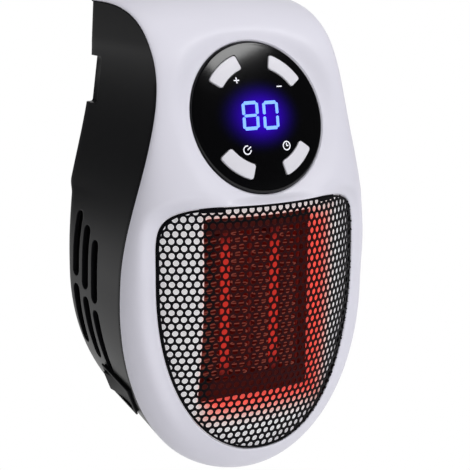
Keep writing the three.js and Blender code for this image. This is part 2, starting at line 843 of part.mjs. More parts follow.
const flangeFace = backDepth - wall - clearance - plugFlange;
const retainerFront = flangeFace - clearance - retainerThickness;
const retainerEars = [
  { across: -earOffset, height: plugHeight + earOffset },
  { across: earOffset, height: plugHeight - earOffset },
];

// Display pieces, drawn in displayFrame

function keyShape(grow) {
  const inner = keyInner - grow;
  const outer = keyOuter + grow;
  const half = keySpan / 2 + grow / keyInner;
  const corner = keyCorner;
  const outline = new THREE.Shape();
  const polar = (radius, turn) => [radius * Math.cos(turn), radius * Math.sin(turn)];
  const eased = (radius) => half - corner / radius;
  outline.moveTo(...polar(outer, -eased(outer)));
  outline.absarc(0, 0, outer, -eased(outer), eased(outer));
  outline.quadraticCurveTo(...polar(outer, half), ...polar(outer - corner, half));
  outline.lineTo(...polar(inner + corner, half));
  outline.quadraticCurveTo(...polar(inner, half), ...polar(inner, eased(inner)));
  outline.absarc(0, 0, inner, eased(inner), -eased(inner), true);
  outline.quadraticCurveTo(...polar(inner, -half), ...polar(inner + corner, -half));
  outline.lineTo(...polar(outer - corner, -half));
  outline.quadraticCurveTo(...polar(outer, -half), ...polar(outer, -eased(outer)));
  return outline;
}

function keyPrism(grow, front, back, turn) {
  return solid(slab(keyShape(grow), front, back, 2).applyMatrix4(new THREE.Matrix4().makeRotationY(-turn)));
}

const domeRadius = (displayRadius ** 2 + displayDome ** 2) / (2 * displayDome);
const domeAt = (radius) => -(Math.sqrt(domeRadius ** 2 - radius ** 2) - (domeRadius - displayDome));

function domeSolid(shift, back) {
  const arc = evenly(0, displayRadius, 4).map((radius) => [radius, domeAt(radius) + shift]);
  return solid(turned([...arc, [displayRadius, back], [0, back]], 16));
}

function makeDisplayPanel() {
  const inner = displayRadius - displaySkirt;
  const under = evenly(inner, 0, 2).map((radius) => [radius, domeAt(radius) + displayWall]);
  const top = evenly(0, displayRadius, 4).map((radius) => [radius, domeAt(radius)]);
  const skirtBack = displayBoardDepth - clearance;
  const body = solid(turned([...top, [displayRadius, skirtBack], [inner, skirtBack], ...under]));
  return cut(body, ...keyPlaces.map(({ turn }) => keyPrism(clearance, -seatReach, displayWall, turn)));
}

const switchRadius = (keyInner + keyOuter) / 2;
const plungerFront = displayBoardDepth - clearance - switchHeight - plungerHeight;

function makeKey(turn) {
  const cap = keyPrism(0, -seatReach, displayWall, turn).intersect(domeSolid(-keyProud, displayWall));
  const flangeTop = domeAt(keyOuter + keyFlange) + displayWall + clearance;
  const flange = keyPrism(keyFlange, flangeTop, flangeTop + keyFlange, turn);
  const stemBack = plungerFront - keyTravel - clearance / 2;
  const stem = solid(rod(keyStemRadius, domeAt(keyInner), stemBack,
    switchRadius * Math.cos(turn), switchRadius * Math.sin(turn)));
  return join(cap, flange, stem);
}

function makeSwitch(turn) {
  const [x, z] = [switchRadius * Math.cos(turn), switchRadius * Math.sin(turn)];
  const back = displayBoardDepth - clearance;
  const half = switchSize / 2;
  const body = solid(block(x - half, x + half, back - switchHeight, back, z - half, z + half));
  const plunger = solid(rod(plungerRadius, plungerFront, back - switchHeight / 2, x, z));
  return join(body, plunger);
}

function makeDigitModule() {
  const front = domeAt(digitWidth / 2) + displayWall + clearance;
  return solid(block(
    -digitWidth / 2, digitWidth / 2, front, displayBoardDepth - clearance, -digitHeight / 2, digitHeight / 2));
}

function makeReceiver() {
  const back = displayBoardDepth - clearance;
  const height = -(keyInner + receiverSize / 2);
  const body = solid(block(
    -receiverSize / 2, receiverSize / 2, back - receiverHeight / 2, back,
    height - receiverSize / 2, height + receiverSize / 2));
  const lens = solid(rod(receiverLensRadius, back - receiverHeight, back - receiverHeight / 4, 0, height));
  return join(body, lens);
}

function makeDisplayBoard() {
  const back = displayBoardDepth + boardThickness;
  return solid(rod(displayRadius - clearance, displayBoardDepth, back, 0, 0, roundFacets));
}

// Heater stack: bars between corrugated fins, held top and bottom in moulded channels

const innerFin = plateWidth / 2 + clearance;
const barLeft = innerFin + finWidth + clearance;
const outerFin = barLeft + barWidth + clearance;
const endPlate = outerFin + finWidth + clearance;
const stackHalfWidth = endPlate + endPlateWidth;
const stackReach = stackHalfHeight + holderBite;

// A folded strip seen edge on: shifting a zigzag sideways gives its panels their thickness
function finShape(left) {
  const reach = stackHalfHeight - clearance;
  const panels = 2 * Math.round((2 * reach) / finPitch);
  const step = (2 * reach) / panels;
  const shift = (finSheet * Math.hypot(step, finWidth)) / step;
  const line = evenly(-reach, reach, panels).map((z, k) => [k % 2 === 0 ? left : left + finWidth - shift, z]);
  const shifted = line.map(([x, z]) => [x + shift, z]).reverse();
  return shapeOf([...line, ...shifted]);
}

function makeHolder(sign) {
  const halfWide = outletHalfWidth - clearance;
  const near = stackHalfHeight;
  const far = outletHalfHeight - clearance;
  const [low, high] = [Math.min(sign * near, sign * far), Math.max(sign * near, sign * far)];
  const front = stackFront - clearance - holderLip;
  const back = stackBack + clearance + holderLip;
  const whole = solid(slab(roundedBox(halfWide, outletHalfHeight - clearance, outletCorner), front, back, 3));
  const frame = whole.intersect(solid(block(-halfWide, halfWide, front, back, low, high)));
  const ends = [sign * (near - overrun), sign * (stackReach + clearance)];
  const [pocketLow, pocketHigh] = ends.sort((a, b) => a - b);
  const pocket = solid(block(
    -stackHalfWidth - clearance, stackHalfWidth + clearance,
    stackFront - clearance, stackBack + clearance, pocketLow, pocketHigh));
  return cut(frame, pocket);
}

// Fan: a moulded frame with the motor cup on spokes, and a seven-bladed rotor on its shaft

function makeFanFrame() {
  const ringOuter = outletHalfWidth + fanRingWall;
  const back = cupFront + cupPlate;
  const flange = solid(slab(ductShape(), flangeFront, flangeFront + fanFlange, 3));
  const ring = solid(rod(ringOuter, flangeFront + fanFlange / 2, back, 0, 0, roundFacets));
  const bore = solid(rod(outletHalfWidth, flangeFront - overrun, back + overrun, 0, 0, roundFacets));
  const cupOuter = motorRadius + clearance + cupWall;
  const cupLength = motorLength * cupShare;
  const cup = solid(rod(cupOuter, cupFront, back + cupLength, 0, 0, roundFacets));
  const motorSpace = solid(rod(motorRadius + clearance, back, back + cupLength + overrun, 0, 0, roundFacets));
  const shaftHole = solid(rod(shaftHoleRadius, cupFront - overrun, back + overrun, 0, 0, archFacets));
  const arms = evenly(0, spokes - 1, spokes - 1).map((k) => {
    const [near, far] = [cupOuter - cupWall / 2, ringOuter - fanRingWall / 2];
    const arm = block(near, far, cupFront, back, -spokeWidth / 2, spokeWidth / 2);
    return solid(arm.rotateY(Math.PI / 4 + (k * 2 * Math.PI) / spokes));
  });
  const ears = fanScrews.map(({ across, height }) => solid(
    rod(fanBossRadius, flangeFront, flangeFront + fanFlange, across, height)));
  const screwHoles = fanScrews.map(({ across, height }) => solid(
    rod(smallScrewHole, flangeFront - overrun, flangeFront + overrun, across, height)));
  return cut(join(cut(join(flange, ...ears, ring), bore), cup, ...arms), motorSpace, shaftHole, ...screwHoles);
}

function makeFanRotor() {
  const tip = outletHalfWidth - fanTipGap;
  const hub = solid(turned([
    [0, fanHubFront], [fanHubRadius - fanHubBevel, fanHubFront], [fanHubRadius, fanHubFront + fanHubBevel],
    [fanHubRadius, fanHubBack], [0, fanHubBack],
  ], fanBlades * 2));
  const shaftBack = motorFront + motorLength / 2;
  const shaft = solid(rod(shaftRadius, fanHubBack - shaftRadius, shaftBack));
  const middle = (fanHubFront + fanHubBack) / 2;
  const rings = evenly(0, 1, 2).map((share) => {
    const radius = THREE.MathUtils.lerp(bladeRootRadius, tip, share);
    const pitch = THREE.MathUtils.lerp(bladeRoot.pitch, bladeTip.pitch, share);
    const chord = THREE.MathUtils.lerp(bladeRoot.chord, bladeTip.chord, share);
    const point = (along, lift) => new THREE.Vector3(
      along * Math.cos(pitch) - lift * Math.sin(pitch),
      middle + along * Math.sin(pitch) + lift * Math.cos(pitch),
      radius);
    const camber = (side) => (1 - (2 * side) ** 2) * chord * bladeCamberShare;
    const skin = (lift) => bladeEdgeShares.map((side) => point(side * chord, camber(side) + lift));
    return [...skin(bladeThickness / 2), ...skin(-bladeThickness / 2).reverse()];
  });
  const tipLimit = solid(rod(tip, fanHubFront, fanHubBack, 0, 0, fanBlades * 4));
  const blades = evenly(0, fanBlades - 1, fanBlades - 1).map(
    (k) => solid(loft(rings).rotateY((k * 2 * Math.PI) / fanBlades)).intersect(tipLimit));
  return join(hub, shaft, ...blades);
}

function makeMotor() {
  const front = motorFront;
  const back = front + motorLength;
  const can = solid(turned([
    [0, front], [motorRadius, front], [motorRadius, back - motorBevel],
    [motorRadius - motorBevel, back], [0, back],
  ]));
  const tail = solid(rod(motorTailRadius, back - shaftRadius, back + shaftRadius, 0, 0, archFacets));
  const bore = solid(rod(shaftRadius + clearance, front - overrun, front + motorLength / 2 + clearance));
  return cut(join(can, tail), bore);
}

// Swivelling plug

function makePlugDisc() {
  const body = solid(turned([
    [0, flangeFace], [plugFlangeRadius, flangeFace], [plugFlangeRadius, flangeFace + plugFlange],
    [plugRadius, flangeFace + plugFlange], [plugRadius, plugFace - wall / 2],
    [plugRadius - wall / 2, plugFace], [0, plugFace],
  ], roundFacets + 8).translate(0, 0, plugHeight));
  const slots = [-1, 1].map((sign) => {
    const across = sign * bladeSpacing / 2;
    const half = bladeWidth / 2 + clearance;
    const halfTall = bladeHeight / 2 + clearance;
    return solid(block(across - half, across + half, flangeFace - overrun, plugFace + overrun,
      plugHeight - halfTall, plugHeight + halfTall));
  });
  return cut(body, ...slots);
}

function makePlugBlade(sign) {
  const tip = plugFace + bladeReach;
  const tail = plugFace - bladeTail;
  const half = bladeHeight / 2;
  const outline = new THREE.Shape();
  outline.moveTo(tail, plugHeight - half);
  outline.lineTo(tip - half, plugHeight - half);
  outline.lineTo(tip, plugHeight - half / 2);
  outline.lineTo(tip, plugHeight + half / 2);
  outline.lineTo(tip - half, plugHeight + half);
  outline.lineTo(tail, plugHeight + half);
  const hole = new THREE.Path();
  hole.absarc(plugFace + bladeHoleReach, plugHeight, bladeHole, 0, Math.PI * 2, true);
  outline.holes.push(hole);
  const across = sign * bladeSpacing / 2;
  return solid(sideways(outline, across - bladeWidth / 2, across + bladeWidth / 2, 3));
}

function makeRetainer() {
  const back = retainerFront + retainerThickness;
  const plate = solid(rod(plugFlangeRadius, retainerFront, back, 0, plugHeight, roundFacets));
  const ears = retainerEars.map(({ across, height }) => solid(
    rod(earRadius, retainerFront, back, across, height, archFacets)));
  const bridges = retainerEars.map(({ across, height }) => {
    const reach = Math.hypot(across, height - plugHeight);
    const lean = Math.atan2(height - plugHeight, across);
    return solid(block(retainerBore + wall, reach, retainerFront, back, -earRadius, earRadius)
      .rotateY(-lean).translate(0, 0, plugHeight));
  });
  const bore = solid(rod(retainerBore, retainerFront - overrun, back + overrun, 0, plugHeight, 20));
  const holes = retainerEars.map(({ across, height }) => solid(
    rod(smallScrewHole, retainerFront - overrun, back + overrun, across, height)));
  return cut(join(plate, ...ears, ...bridges), bore, ...holes);
}

// Rocker switch, drawn in rockerFrame

const rockerMouthHalf = rockerBreadth / 2 - rockerRim;
const rockerMouthLength = rockerLength / 2 - rockerRim;

function makeRockerFrame() {
  const bezel = solid(block(
    -rockerBreadth / 2, rockerBreadth / 2, -rockerLength / 2, rockerLength / 2,
    clearance, rockerBezel + clearance));
  const halfBody = rockerBreadth / 2 - rockerRim / 2;
  const halfBodyLength = rockerLength / 2 - rockerRim / 2;
  const body = solid(block(
    -halfBody, halfBody, -halfBodyLength, halfBodyLength, -rockerBodyDepth, clearance * 2));
  const mouth = solid(block(
    -rockerMouthHalf, rockerMouthHalf, -rockerMouthLength, rockerMouthLength,
    -rockerBodyDepth + rockerFloor, rockerBezel + overrun));
  const pivot = solid(new THREE.CylinderGeometry(
    rockerPivotRadius + clearance, rockerPivotRadius + clearance, rockerBreadth + overrun, smallFacets)
    .rotateZ(Math.PI / 2).translate(0, 0, -rockerPivotDepth));
  return cut(join(bezel, body), mouth, pivot);
}

function makeRockerCap() {
  const end = rockerMouthLength - clearance * 2;
  const top = rockerBezel + clearance;
  const outline = new THREE.Shape();
  outline.moveTo(-end, -rockerPocket / 2);
  outline.quadraticCurveTo(0, -rockerPocket * rockerBellyShare, end, -rockerPocket / 2);
  outline.lineTo(end, top + end * Math.tan(rockerTilt));
  outline.quadraticCurveTo(0, top - end * Math.tan(rockerTilt), -end, top + end * Math.tan(rockerTilt));
  const half = rockerMouthHalf - clearance;
  const cap = solid(sideways(outline, -half, half, 8));
  const pin = solid(new THREE.CylinderGeometry(
    rockerPivotRadius, rockerPivotRadius, rockerBreadth - rockerRim, smallFacets)
    .rotateZ(Math.PI / 2).translate(0, 0, -rockerPivotDepth));
  return surface(join(cap, pin)).translate(0, 0, rockerPivotDepth).rotateX(rockerTilt)
    .translate(0, 0, -rockerPivotDepth);
}

// Power board and the parts on it

function makePowerBoard() {
  const back = powerBoardDepth + powerBoardThickness;
  const sheet = solid(block(
    -boardHalfWidth, boardHalfWidth, powerBoardDepth, back, boardLow, boardHigh));
  const holes = standoffs.map(({ across, height }) => solid(
    rod(screwRadius + clearance, powerBoardDepth - overrun, back + overrun, across, height)));
  const upper = casePosts.filter(({ height }) => height > hoodStart).map(({ across, height }) => solid(
    rod(bossRadius + clearance * 2, powerBoardDepth - overrun, back + overrun, across, height)));
  return cut(sheet, ...holes, ...upper);
}

function onBoard({ width, depth, height }, across, low) {
  const back = powerBoardDepth - clearance;
  return block(across - width / 2, across + width / 2, back - depth, back, low, low + height);
}

const safetyTop = outletHalfHeight + ductWall + clearance;
const safetyDepth = ductBack - cutoffRadius;

function makeCutoff() {
  const disc = (radius, low, high) => solid(new THREE.CylinderGeometry(radius, radius, high - low, roundFacets)
    .rotateX(Math.PI / 2).translate(-safetyAcross, safetyDepth, safetyTop + (low + high) / 2));
  return join(disc(cutoffRadius, 0, cutoffBase), disc(cutoffCapRadius, cutoffBase / 2, cutoffHeight));
}

function makeThermalFuse() {
  const body = new THREE.CylinderGeometry(fuseRadius, fuseRadius, fuseLength, 12);
  return solid(body.rotateZ(Math.PI / 2).translate(safetyAcross, safetyDepth, safetyTop + fuseRadius));
}

// Finishes, then the pieces

const finishes = {
  lavenderShell: { color: 0xd3d2dc, roughness: 0.38, metalness: 0 },
  blackShell: { color: 0x1c1c1f, roughness: 0.42, metalness: 0 },
  grilleBlack: { color: 0x141416, roughness: 0.45, metalness: 0.4 },
  baffleWhite: { color: 0xe9e6e6, roughness: 0.5, metalness: 0 },
  panelGloss: { color: 0x050507, roughness: 0.08, metalness: 0 },
  keyWhite: { color: 0xdcd9e6, roughness: 0.4, metalness: 0 },
  digitBlue: { color: 0x5c86ff, roughness: 0.3, metalness: 0 },
  boardGreen: { color: 0x1d5a34, roughness: 0.5, metalness: 0 },
  partBlack: { color: 0x202024, roughness: 0.5, metalness: 0 },
  holderDark: { color: 0x2b2622, roughness: 0.6, metalness: 0 },
  barRed: { color: 0xd2301c, roughness: 0.45, metalness: 0.2 },
  finMetal: { color: 0x8c3a26, roughness: 0.4, metalness: 0.7 },
  fanGrey: { color: 0x3a3a3e, roughness: 0.5, metalness: 0 },
  steel: { color: 0xb4b6ba, roughness: 0.3, metalness: 1 },
  brass: { color: 0xc9a85c, roughness: 0.3, metalness: 1 },
  relayBlue: { color: 0x2a5fae, roughness: 0.45, metalness: 0 },
  filmYellow: { color: 0xd8b23a, roughness: 0.5, metalness: 0 },
};

const heater = new THREE.Group();
heater.position.set(0, -plugFace, -plugHeight);
heater.add(displayFrame, rockerFrame);

function piece(name, finish, form, parent = heater) {
  const geometry = form.isBufferGeometry ? closed(form) : surface(form);
  geometry.computeVertexNormals();
  const mesh = new THREE.Mesh(geometry, new THREE.MeshStandardMaterial(finishes[finish]));
  mesh.name = name;
  parent.add(mesh);
}

piece('front_cover', 'lavenderShell', makeFrontCover());
piece('rear_cover', 'blackShell', makeRearCover());
piece('outlet_grille', 'grilleBlack', makeGrille());
piece('air_baffle', 'baffleWhite', makeAirBaffle());

piece('display_panel', 'panelGloss', makeDisplayPanel(), displayFrame);
piece('digit_module', 'digitBlue', makeDigitModule(), displayFrame);
piece('display_board', 'boardGreen', makeDisplayBoard(), displayFrame);
piece('infrared_receiver', 'partBlack', makeReceiver(), displayFrame);
keyPlaces.forEach(({ name, turn }) => {
  piece(name, 'keyWhite', makeKey(turn), displayFrame);
  piece(name.replace('button', 'key_switch'), 'partBlack', makeSwitch(turn), displayFrame);
});

piece('heater_holder_top', 'holderDark', makeHolder(1));
piece('heater_holder_bottom', 'holderDark', makeHolder(-1));
piece('heater_centre_plate', 'barRed', block(
  -plateWidth / 2, plateWidth / 2, stackFront, stackBack, -stackReach, stackReach));
[['left', -1], ['right', 1]].forEach(([side, sign]) => {
  const span = (near, width) => (sign > 0 ? [near, near + width] : [-near - width, -near]);
  const upright = (near, width, reach, front = stackFront, back = stackBack) => block(
    ...span(near, width), front, back, -reach, reach);
  piece(`heater_bar_${side}`, 'barRed', upright(barLeft, barWidth, stackReach));
  piece(`heater_end_plate_${side}`, 'holderDark', upright(endPlate, endPlateWidth, stackReach));
  const railWidth = outletHalfWidth - clearance - (stackHalfWidth + clearance);
  piece(`heater_side_rail_${side}`, 'holderDark', upright(
    stackHalfWidth + clearance, railWidth, stackHalfHeight - clearance, stackFront - holderLip, stackBack));
  const fins = (near) => slab(finShape(span(near, finWidth)[0]), stackFront, stackBack);
  piece(`fin_pack_inner_${side}`, 'finMetal', fins(innerFin));
  piece(`fin_pack_outer_${side}`, 'finMetal', fins(outerFin));
});

piece('fan_frame', 'fanGrey', makeFanFrame());
piece('fan_rotor', 'fanGrey', makeFanRotor());
piece('fan_motor', 'steel', makeMotor());

piece('plug_disc', 'blackShell', makePlugDisc());
piece('plug_blade_left', 'brass', makePlugBlade(-1));
piece('plug_blade_right', 'brass', makePlugBlade(1));
piece('plug_retainer', 'fanGrey', makeRetainer());

piece('rocker_frame', 'partBlack', makeRockerFrame(), rockerFrame);
piece('rocker_cap', 'partBlack', makeRockerCap(), rockerFrame);

piece('power_board', 'boardGreen', makePowerBoard());
const relayLeft = -relaySize.width / 2 - terminalSize.height / 2;
const filmRight = filmSize.width / 2 + terminalSize.height / 2;
piece('relay', 'relayBlue', onBoard(relaySize, relayLeft, boardLow + standoffInset * 2));
piece('film_capacitor', 'filmYellow', onBoard(filmSize, filmRight, boardLow + clearance));
piece('mains_terminal', 'partBlack', onBoard(terminalSize, 0, boardHigh - standoffInset - terminalSize.height));
piece('supply_capacitor', 'partBlack', rod(
  canRadius, powerBoardDepth - clearance - canLength, powerBoardDepth - clearance,
  filmSize.width / 2 + canRadius, boardLow + filmSize.height + canRadius * 2, 16));
piece('thermal_cutoff', 'steel', makeCutoff());
piece('thermal_fuse', 'steel', makeThermalFuse());

casePosts.forEach(({ across, height, meet }, k) => {
  const seat = meet + seam + bossWeb + clearance;
  piece(`case_screw_${k + 1}`, 'steel', screwForm(screwRadius, screwLength).translate(across, seat, height));
});
fanScrews.forEach(({ across, height }, k) => {
  const seat = flangeFront + fanFlange + clearance;
  const form = screwForm(smallScrewRadius, smallScrewLength);
  piece(`fan_screw_${k + 1}`, 'steel', form.translate(across, seat, height));
});
standoffs.forEach(({ across, height }, k) => {
  const form = screwForm(screwRadius, screwLength).rotateX(Math.PI);
  piece(`board_screw_${k + 1}`, 'steel', form.translate(across, powerBoardDepth - clearance, height));
});
retainerEars.forEach(({ across, height }, k) => {
  const form = screwForm(smallScrewRadius, smallScrewLength).rotateX(Math.PI);
  piece(`retainer_screw_${k + 1}`, 'steel', form.translate(across, retainerFront - clearance, height));
});

const part = new THREE.Group();
part.add(heater);

export default part;
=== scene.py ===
import json
from math import atan2, ceil, cos, floor, hypot, pi, radians, sin, sqrt, tan

import bmesh
import bpy
from mathutils import Matrix, Vector


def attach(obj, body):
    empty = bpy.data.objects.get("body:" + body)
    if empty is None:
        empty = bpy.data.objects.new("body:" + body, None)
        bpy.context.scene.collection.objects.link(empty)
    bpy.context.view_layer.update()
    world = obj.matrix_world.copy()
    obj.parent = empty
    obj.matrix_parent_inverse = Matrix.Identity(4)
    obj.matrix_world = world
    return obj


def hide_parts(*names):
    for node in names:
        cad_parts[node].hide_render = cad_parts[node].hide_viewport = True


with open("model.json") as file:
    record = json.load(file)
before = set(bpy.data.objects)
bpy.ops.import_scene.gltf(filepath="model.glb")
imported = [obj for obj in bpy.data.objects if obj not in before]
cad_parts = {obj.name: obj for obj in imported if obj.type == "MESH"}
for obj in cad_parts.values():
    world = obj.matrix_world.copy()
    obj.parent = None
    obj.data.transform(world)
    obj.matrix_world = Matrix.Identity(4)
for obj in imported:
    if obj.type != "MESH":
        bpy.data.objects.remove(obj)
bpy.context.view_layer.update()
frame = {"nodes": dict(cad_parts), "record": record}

print("frame loaded")

# Shapes are drawn in millimetres round the centre of the air outlet, then moved to the frame,
# whose origin is the middle of the plug's face
plugFace = {"depth": 61.5, "height": 77.5}
display = {"depth": 4.9, "height": 67.7, "tilt": radians(17.5)}
toFrame = Matrix.Scale(0.001, 4) @ Matrix.Translation((0, -plugFace["depth"], -plugFace["height"]))
displayTurn = (Matrix.Translation((0, display["depth"], display["height"]))
               @ Matrix.Rotation(-display["tilt"], 4, "X"))


def mix(a, b, share):
    return a + (b - a) * share


def swell(share):
    return (1 + cos(pi * min(max(share, 0), 1))) / 2


def bulge(share, power):
    return max(0, 1 - min(1, abs(share)) ** power) ** (1 / power)


def evenly(start, end, steps):
    return [mix(start, end, k / steps) for k in range(steps + 1)]


def quarter(steps):
    # Angles of a rounded edge, without the first
    return evenly(0, pi / 2, steps)[1:]


# Modelling helpers

def gridForm(columns, rows, place, weld=0.002):
    # A grid of squares whose corners are moved to place(column, row)
    form = bmesh.new()
    bmesh.ops.create_grid(form, x_segments=columns, y_segments=rows, size=1)
    for vert in form.verts:
        vert.co = place(round((vert.co.x + 1) / 2 * columns), round((vert.co.y + 1) / 2 * rows))
    bmesh.ops.remove_doubles(form, verts=form.verts, dist=weld)
    bmesh.ops.dissolve_degenerate(form, edges=form.edges, dist=weld / 4)
    return form


def prism(points, near, far, turn=None, axis="y"):
    # A closed block: an outline in two coordinates, drawn out along the third
    def put(p, q, t):
        spot = Vector((p, t, q)) if axis == "y" else Vector((t, p, q))
        return turn @ spot if turn else spot

    form = bmesh.new()
    ring = bmesh.ops.create_circle(form, cap_ends=True, segments=len(points), radius=1)["verts"]
    for vert, (p, q) in zip(ring, points):
        vert.co = put(p, q, near)
    made = bmesh.ops.extrude_face_region(form, geom=list(form.faces))["geom"]
    lifted = [v for v in made if isinstance(v, bmesh.types.BMVert)]
    shift = put(0, 0, far) - put(0, 0, near)
    bmesh.ops.translate(form, verts=lifted, vec=shift)
    bmesh.ops.recalc_face_normals(form, faces=form.faces)
    return form


def cylinder(radius, near, far, across=0, height=0, facets=48, turn=None, axis="y"):
    points = [(across + radius * cos(2 * pi * k / facets), height + radius * sin(2 * pi * k / facets))
              for k in range(facets)]
    return prism(points, near, far, turn, axis)


def box(low, high, edge=0.0, steps=2, turn=None):
    form = bmesh.new()
    bmesh.ops.create_cube(form, size=1)
    size = [b - a for a, b in zip(low, high)]
    bmesh.ops.scale(form, verts=form.verts, vec=size)
    bmesh.ops.translate(form, verts=form.verts, vec=[(a + b) / 2 for a, b in zip(low, high)])
    if edge:
        roundEdges(form, form.edges, edge, steps)
    if turn:
        bmesh.ops.transform(form, matrix=turn, verts=form.verts)
    return form


def roundEdges(form, edges, radius, steps=3):
    bmesh.ops.bevel(form, geom=list(edges), offset=radius, segments=steps, profile=0.5,
                    affect="EDGES", clamp_overlap=True, material=-1)


def lathe(profile, facets=96, turn=None):
    # Points (radius, depth) turned about the depth axis
    form = gridForm(facets, len(profile) - 1, lambda c, r: Vector((
        profile[r][0] * cos(2 * pi * c / facets), profile[r][1], profile[r][0] * sin(2 * pi * c / facets))))
    bmesh.ops.recalc_face_normals(form, faces=form.faces)
    if turn:
        bmesh.ops.transform(form, matrix=turn, verts=form.verts)
    return form


def thicken(form, depth):
    # A second skin under the first, joined to it along the open edges; depth is a number or a function
    form.normal_update()
    inward = {vert.co.copy().freeze(): vert.normal.copy() for vert in form.verts}
    made = bmesh.ops.extrude_face_region(form, geom=form.faces[:], use_keep_orig=True)["geom"]
    for vert in made:
        if isinstance(vert, bmesh.types.BMVert):
            spot = vert.co.copy().freeze()
            vert.co -= inward[spot] * (depth(spot) if callable(depth) else depth)
    bmesh.ops.recalc_face_normals(form, faces=form.faces)


def faceOut(form, spot, out):
    # All faces turned so that the one nearest to the spot looks the given way
    bmesh.ops.recalc_face_normals(form, faces=form.faces)
    nearest = min(form.faces, key=lambda f: (f.calc_center_median() - Vector(spot)).length)
    if nearest.normal.dot(Vector(out)) < 0:
        bmesh.ops.reverse_faces(form, faces=form.faces)


def sharpEdges(form, angle):
    return [e for e in form.edges if e.calc_face_angle(0) > radians(angle)]


def meshOf(name, form):
    mesh = bpy.data.meshes.new(name)
    form.to_mesh(mesh)
    form.free()
    return mesh


def placed(name, data):
    made = bpy.data.objects.new(name, data)
    bpy.context.scene.collection.objects.link(made)
    return made


def joined(forms):
    # Several forms as one, without welding
    whole = bmesh.new()
    for form in forms:
        mesh = meshOf("part", form)
        whole.from_mesh(mesh)
        bpy.data.meshes.remove(mesh)
    return whole


def carved(form, unions=(), cuts=()):
    # Boolean steps one after another, the unions first
    base = placed("part", meshOf("part", form))
    tools = []
    for operation, forms in (("UNION", unions), ("DIFFERENCE", cuts)):
        for tool in forms:
            tools.append(placed("part", meshOf("part", tool)))
            step = base.modifiers.new("step", "BOOLEAN")
            step.operation = operation
            step.solver = "EXACT"
            step.object = tools[-1]
    evaluated = base.evaluated_get(bpy.context.evaluated_depsgraph_get())
    result = bmesh.new()
    result.from_mesh(evaluated.to_mesh())
    for extra in [base, *tools]:
        mesh = extra.data
        bpy.data.objects.remove(extra)
        bpy.data.meshes.remove(mesh)
    return result


def addPiece(name, form, body, slot, nodes=(), look=None, sharp=32, outward=True):
    # look names the material where it isn't the slot's own; outward is off for shells with an inner wall
    if outward:
        bmesh.ops.recalc_face_normals(form, faces=form.faces)
    bmesh.ops.transform(form, matrix=toFrame, verts=form.verts)
    mesh = meshOf(name, form)
    mesh.shade_smooth()
    mesh.set_sharp_from_angle(angle=radians(sharp))
    mesh.materials.append(materials[look or slot])
    piece = placed(name, mesh)
    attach(piece, body)
    if nodes:
        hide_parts(*nodes)
    return piece


# Materials

def newMaterial(name):
    material = bpy.data.materials.new(name)
    material.use_nodes = True
    tree = material.node_tree
    return material, tree, tree.nodes["Principled BSDF"]


def feed(tree, node, inputs):
    # Each input gets a plain value or a link from another node's output
    for name, value in inputs.items():
        if isinstance(value, bpy.types.NodeSocket):
            tree.links.new(value, node.inputs[name])
        else:
            node.inputs[name].default_value = value


def addNode(tree, kind, inputs=None, **settings):
    node = tree.nodes.new(kind)
    for name, value in settings.items():
        setattr(node, name, value)
    feed(tree, node, inputs or {})
    return node


def mathNode(tree, operation, *values):
    return addNode(tree, "ShaderNodeMath", dict(enumerate(values)), operation=operation).outputs[0]


def vectorNode(tree, operation, *values):
    node = addNode(tree, "ShaderNodeVectorMath", dict(enumerate(values)), operation=operation)
    return node.outputs["Value" if operation in ("DOT_PRODUCT", "DISTANCE") else "Vector"]


def rangeNode(tree, value, low, high, start, end, curve="LINEAR"):
    # start at low, end at high
    inputs = {"Value": value, "From Min": low, "From Max": high, "To Min": start, "To Max": end}
    return addNode(tree, "ShaderNodeMapRange", inputs, interpolation_type=curve).outputs["Result"]


def objectPlace(tree):
    return addNode(tree, "ShaderNodeTexCoord").outputs["Object"]


def noiseNode(tree, scale, detail=2):
    inputs = {"Vector": objectPlace(tree), "Scale": scale, "Detail": detail}
    return addNode(tree, "ShaderNodeTexNoise", inputs).outputs["Fac"]


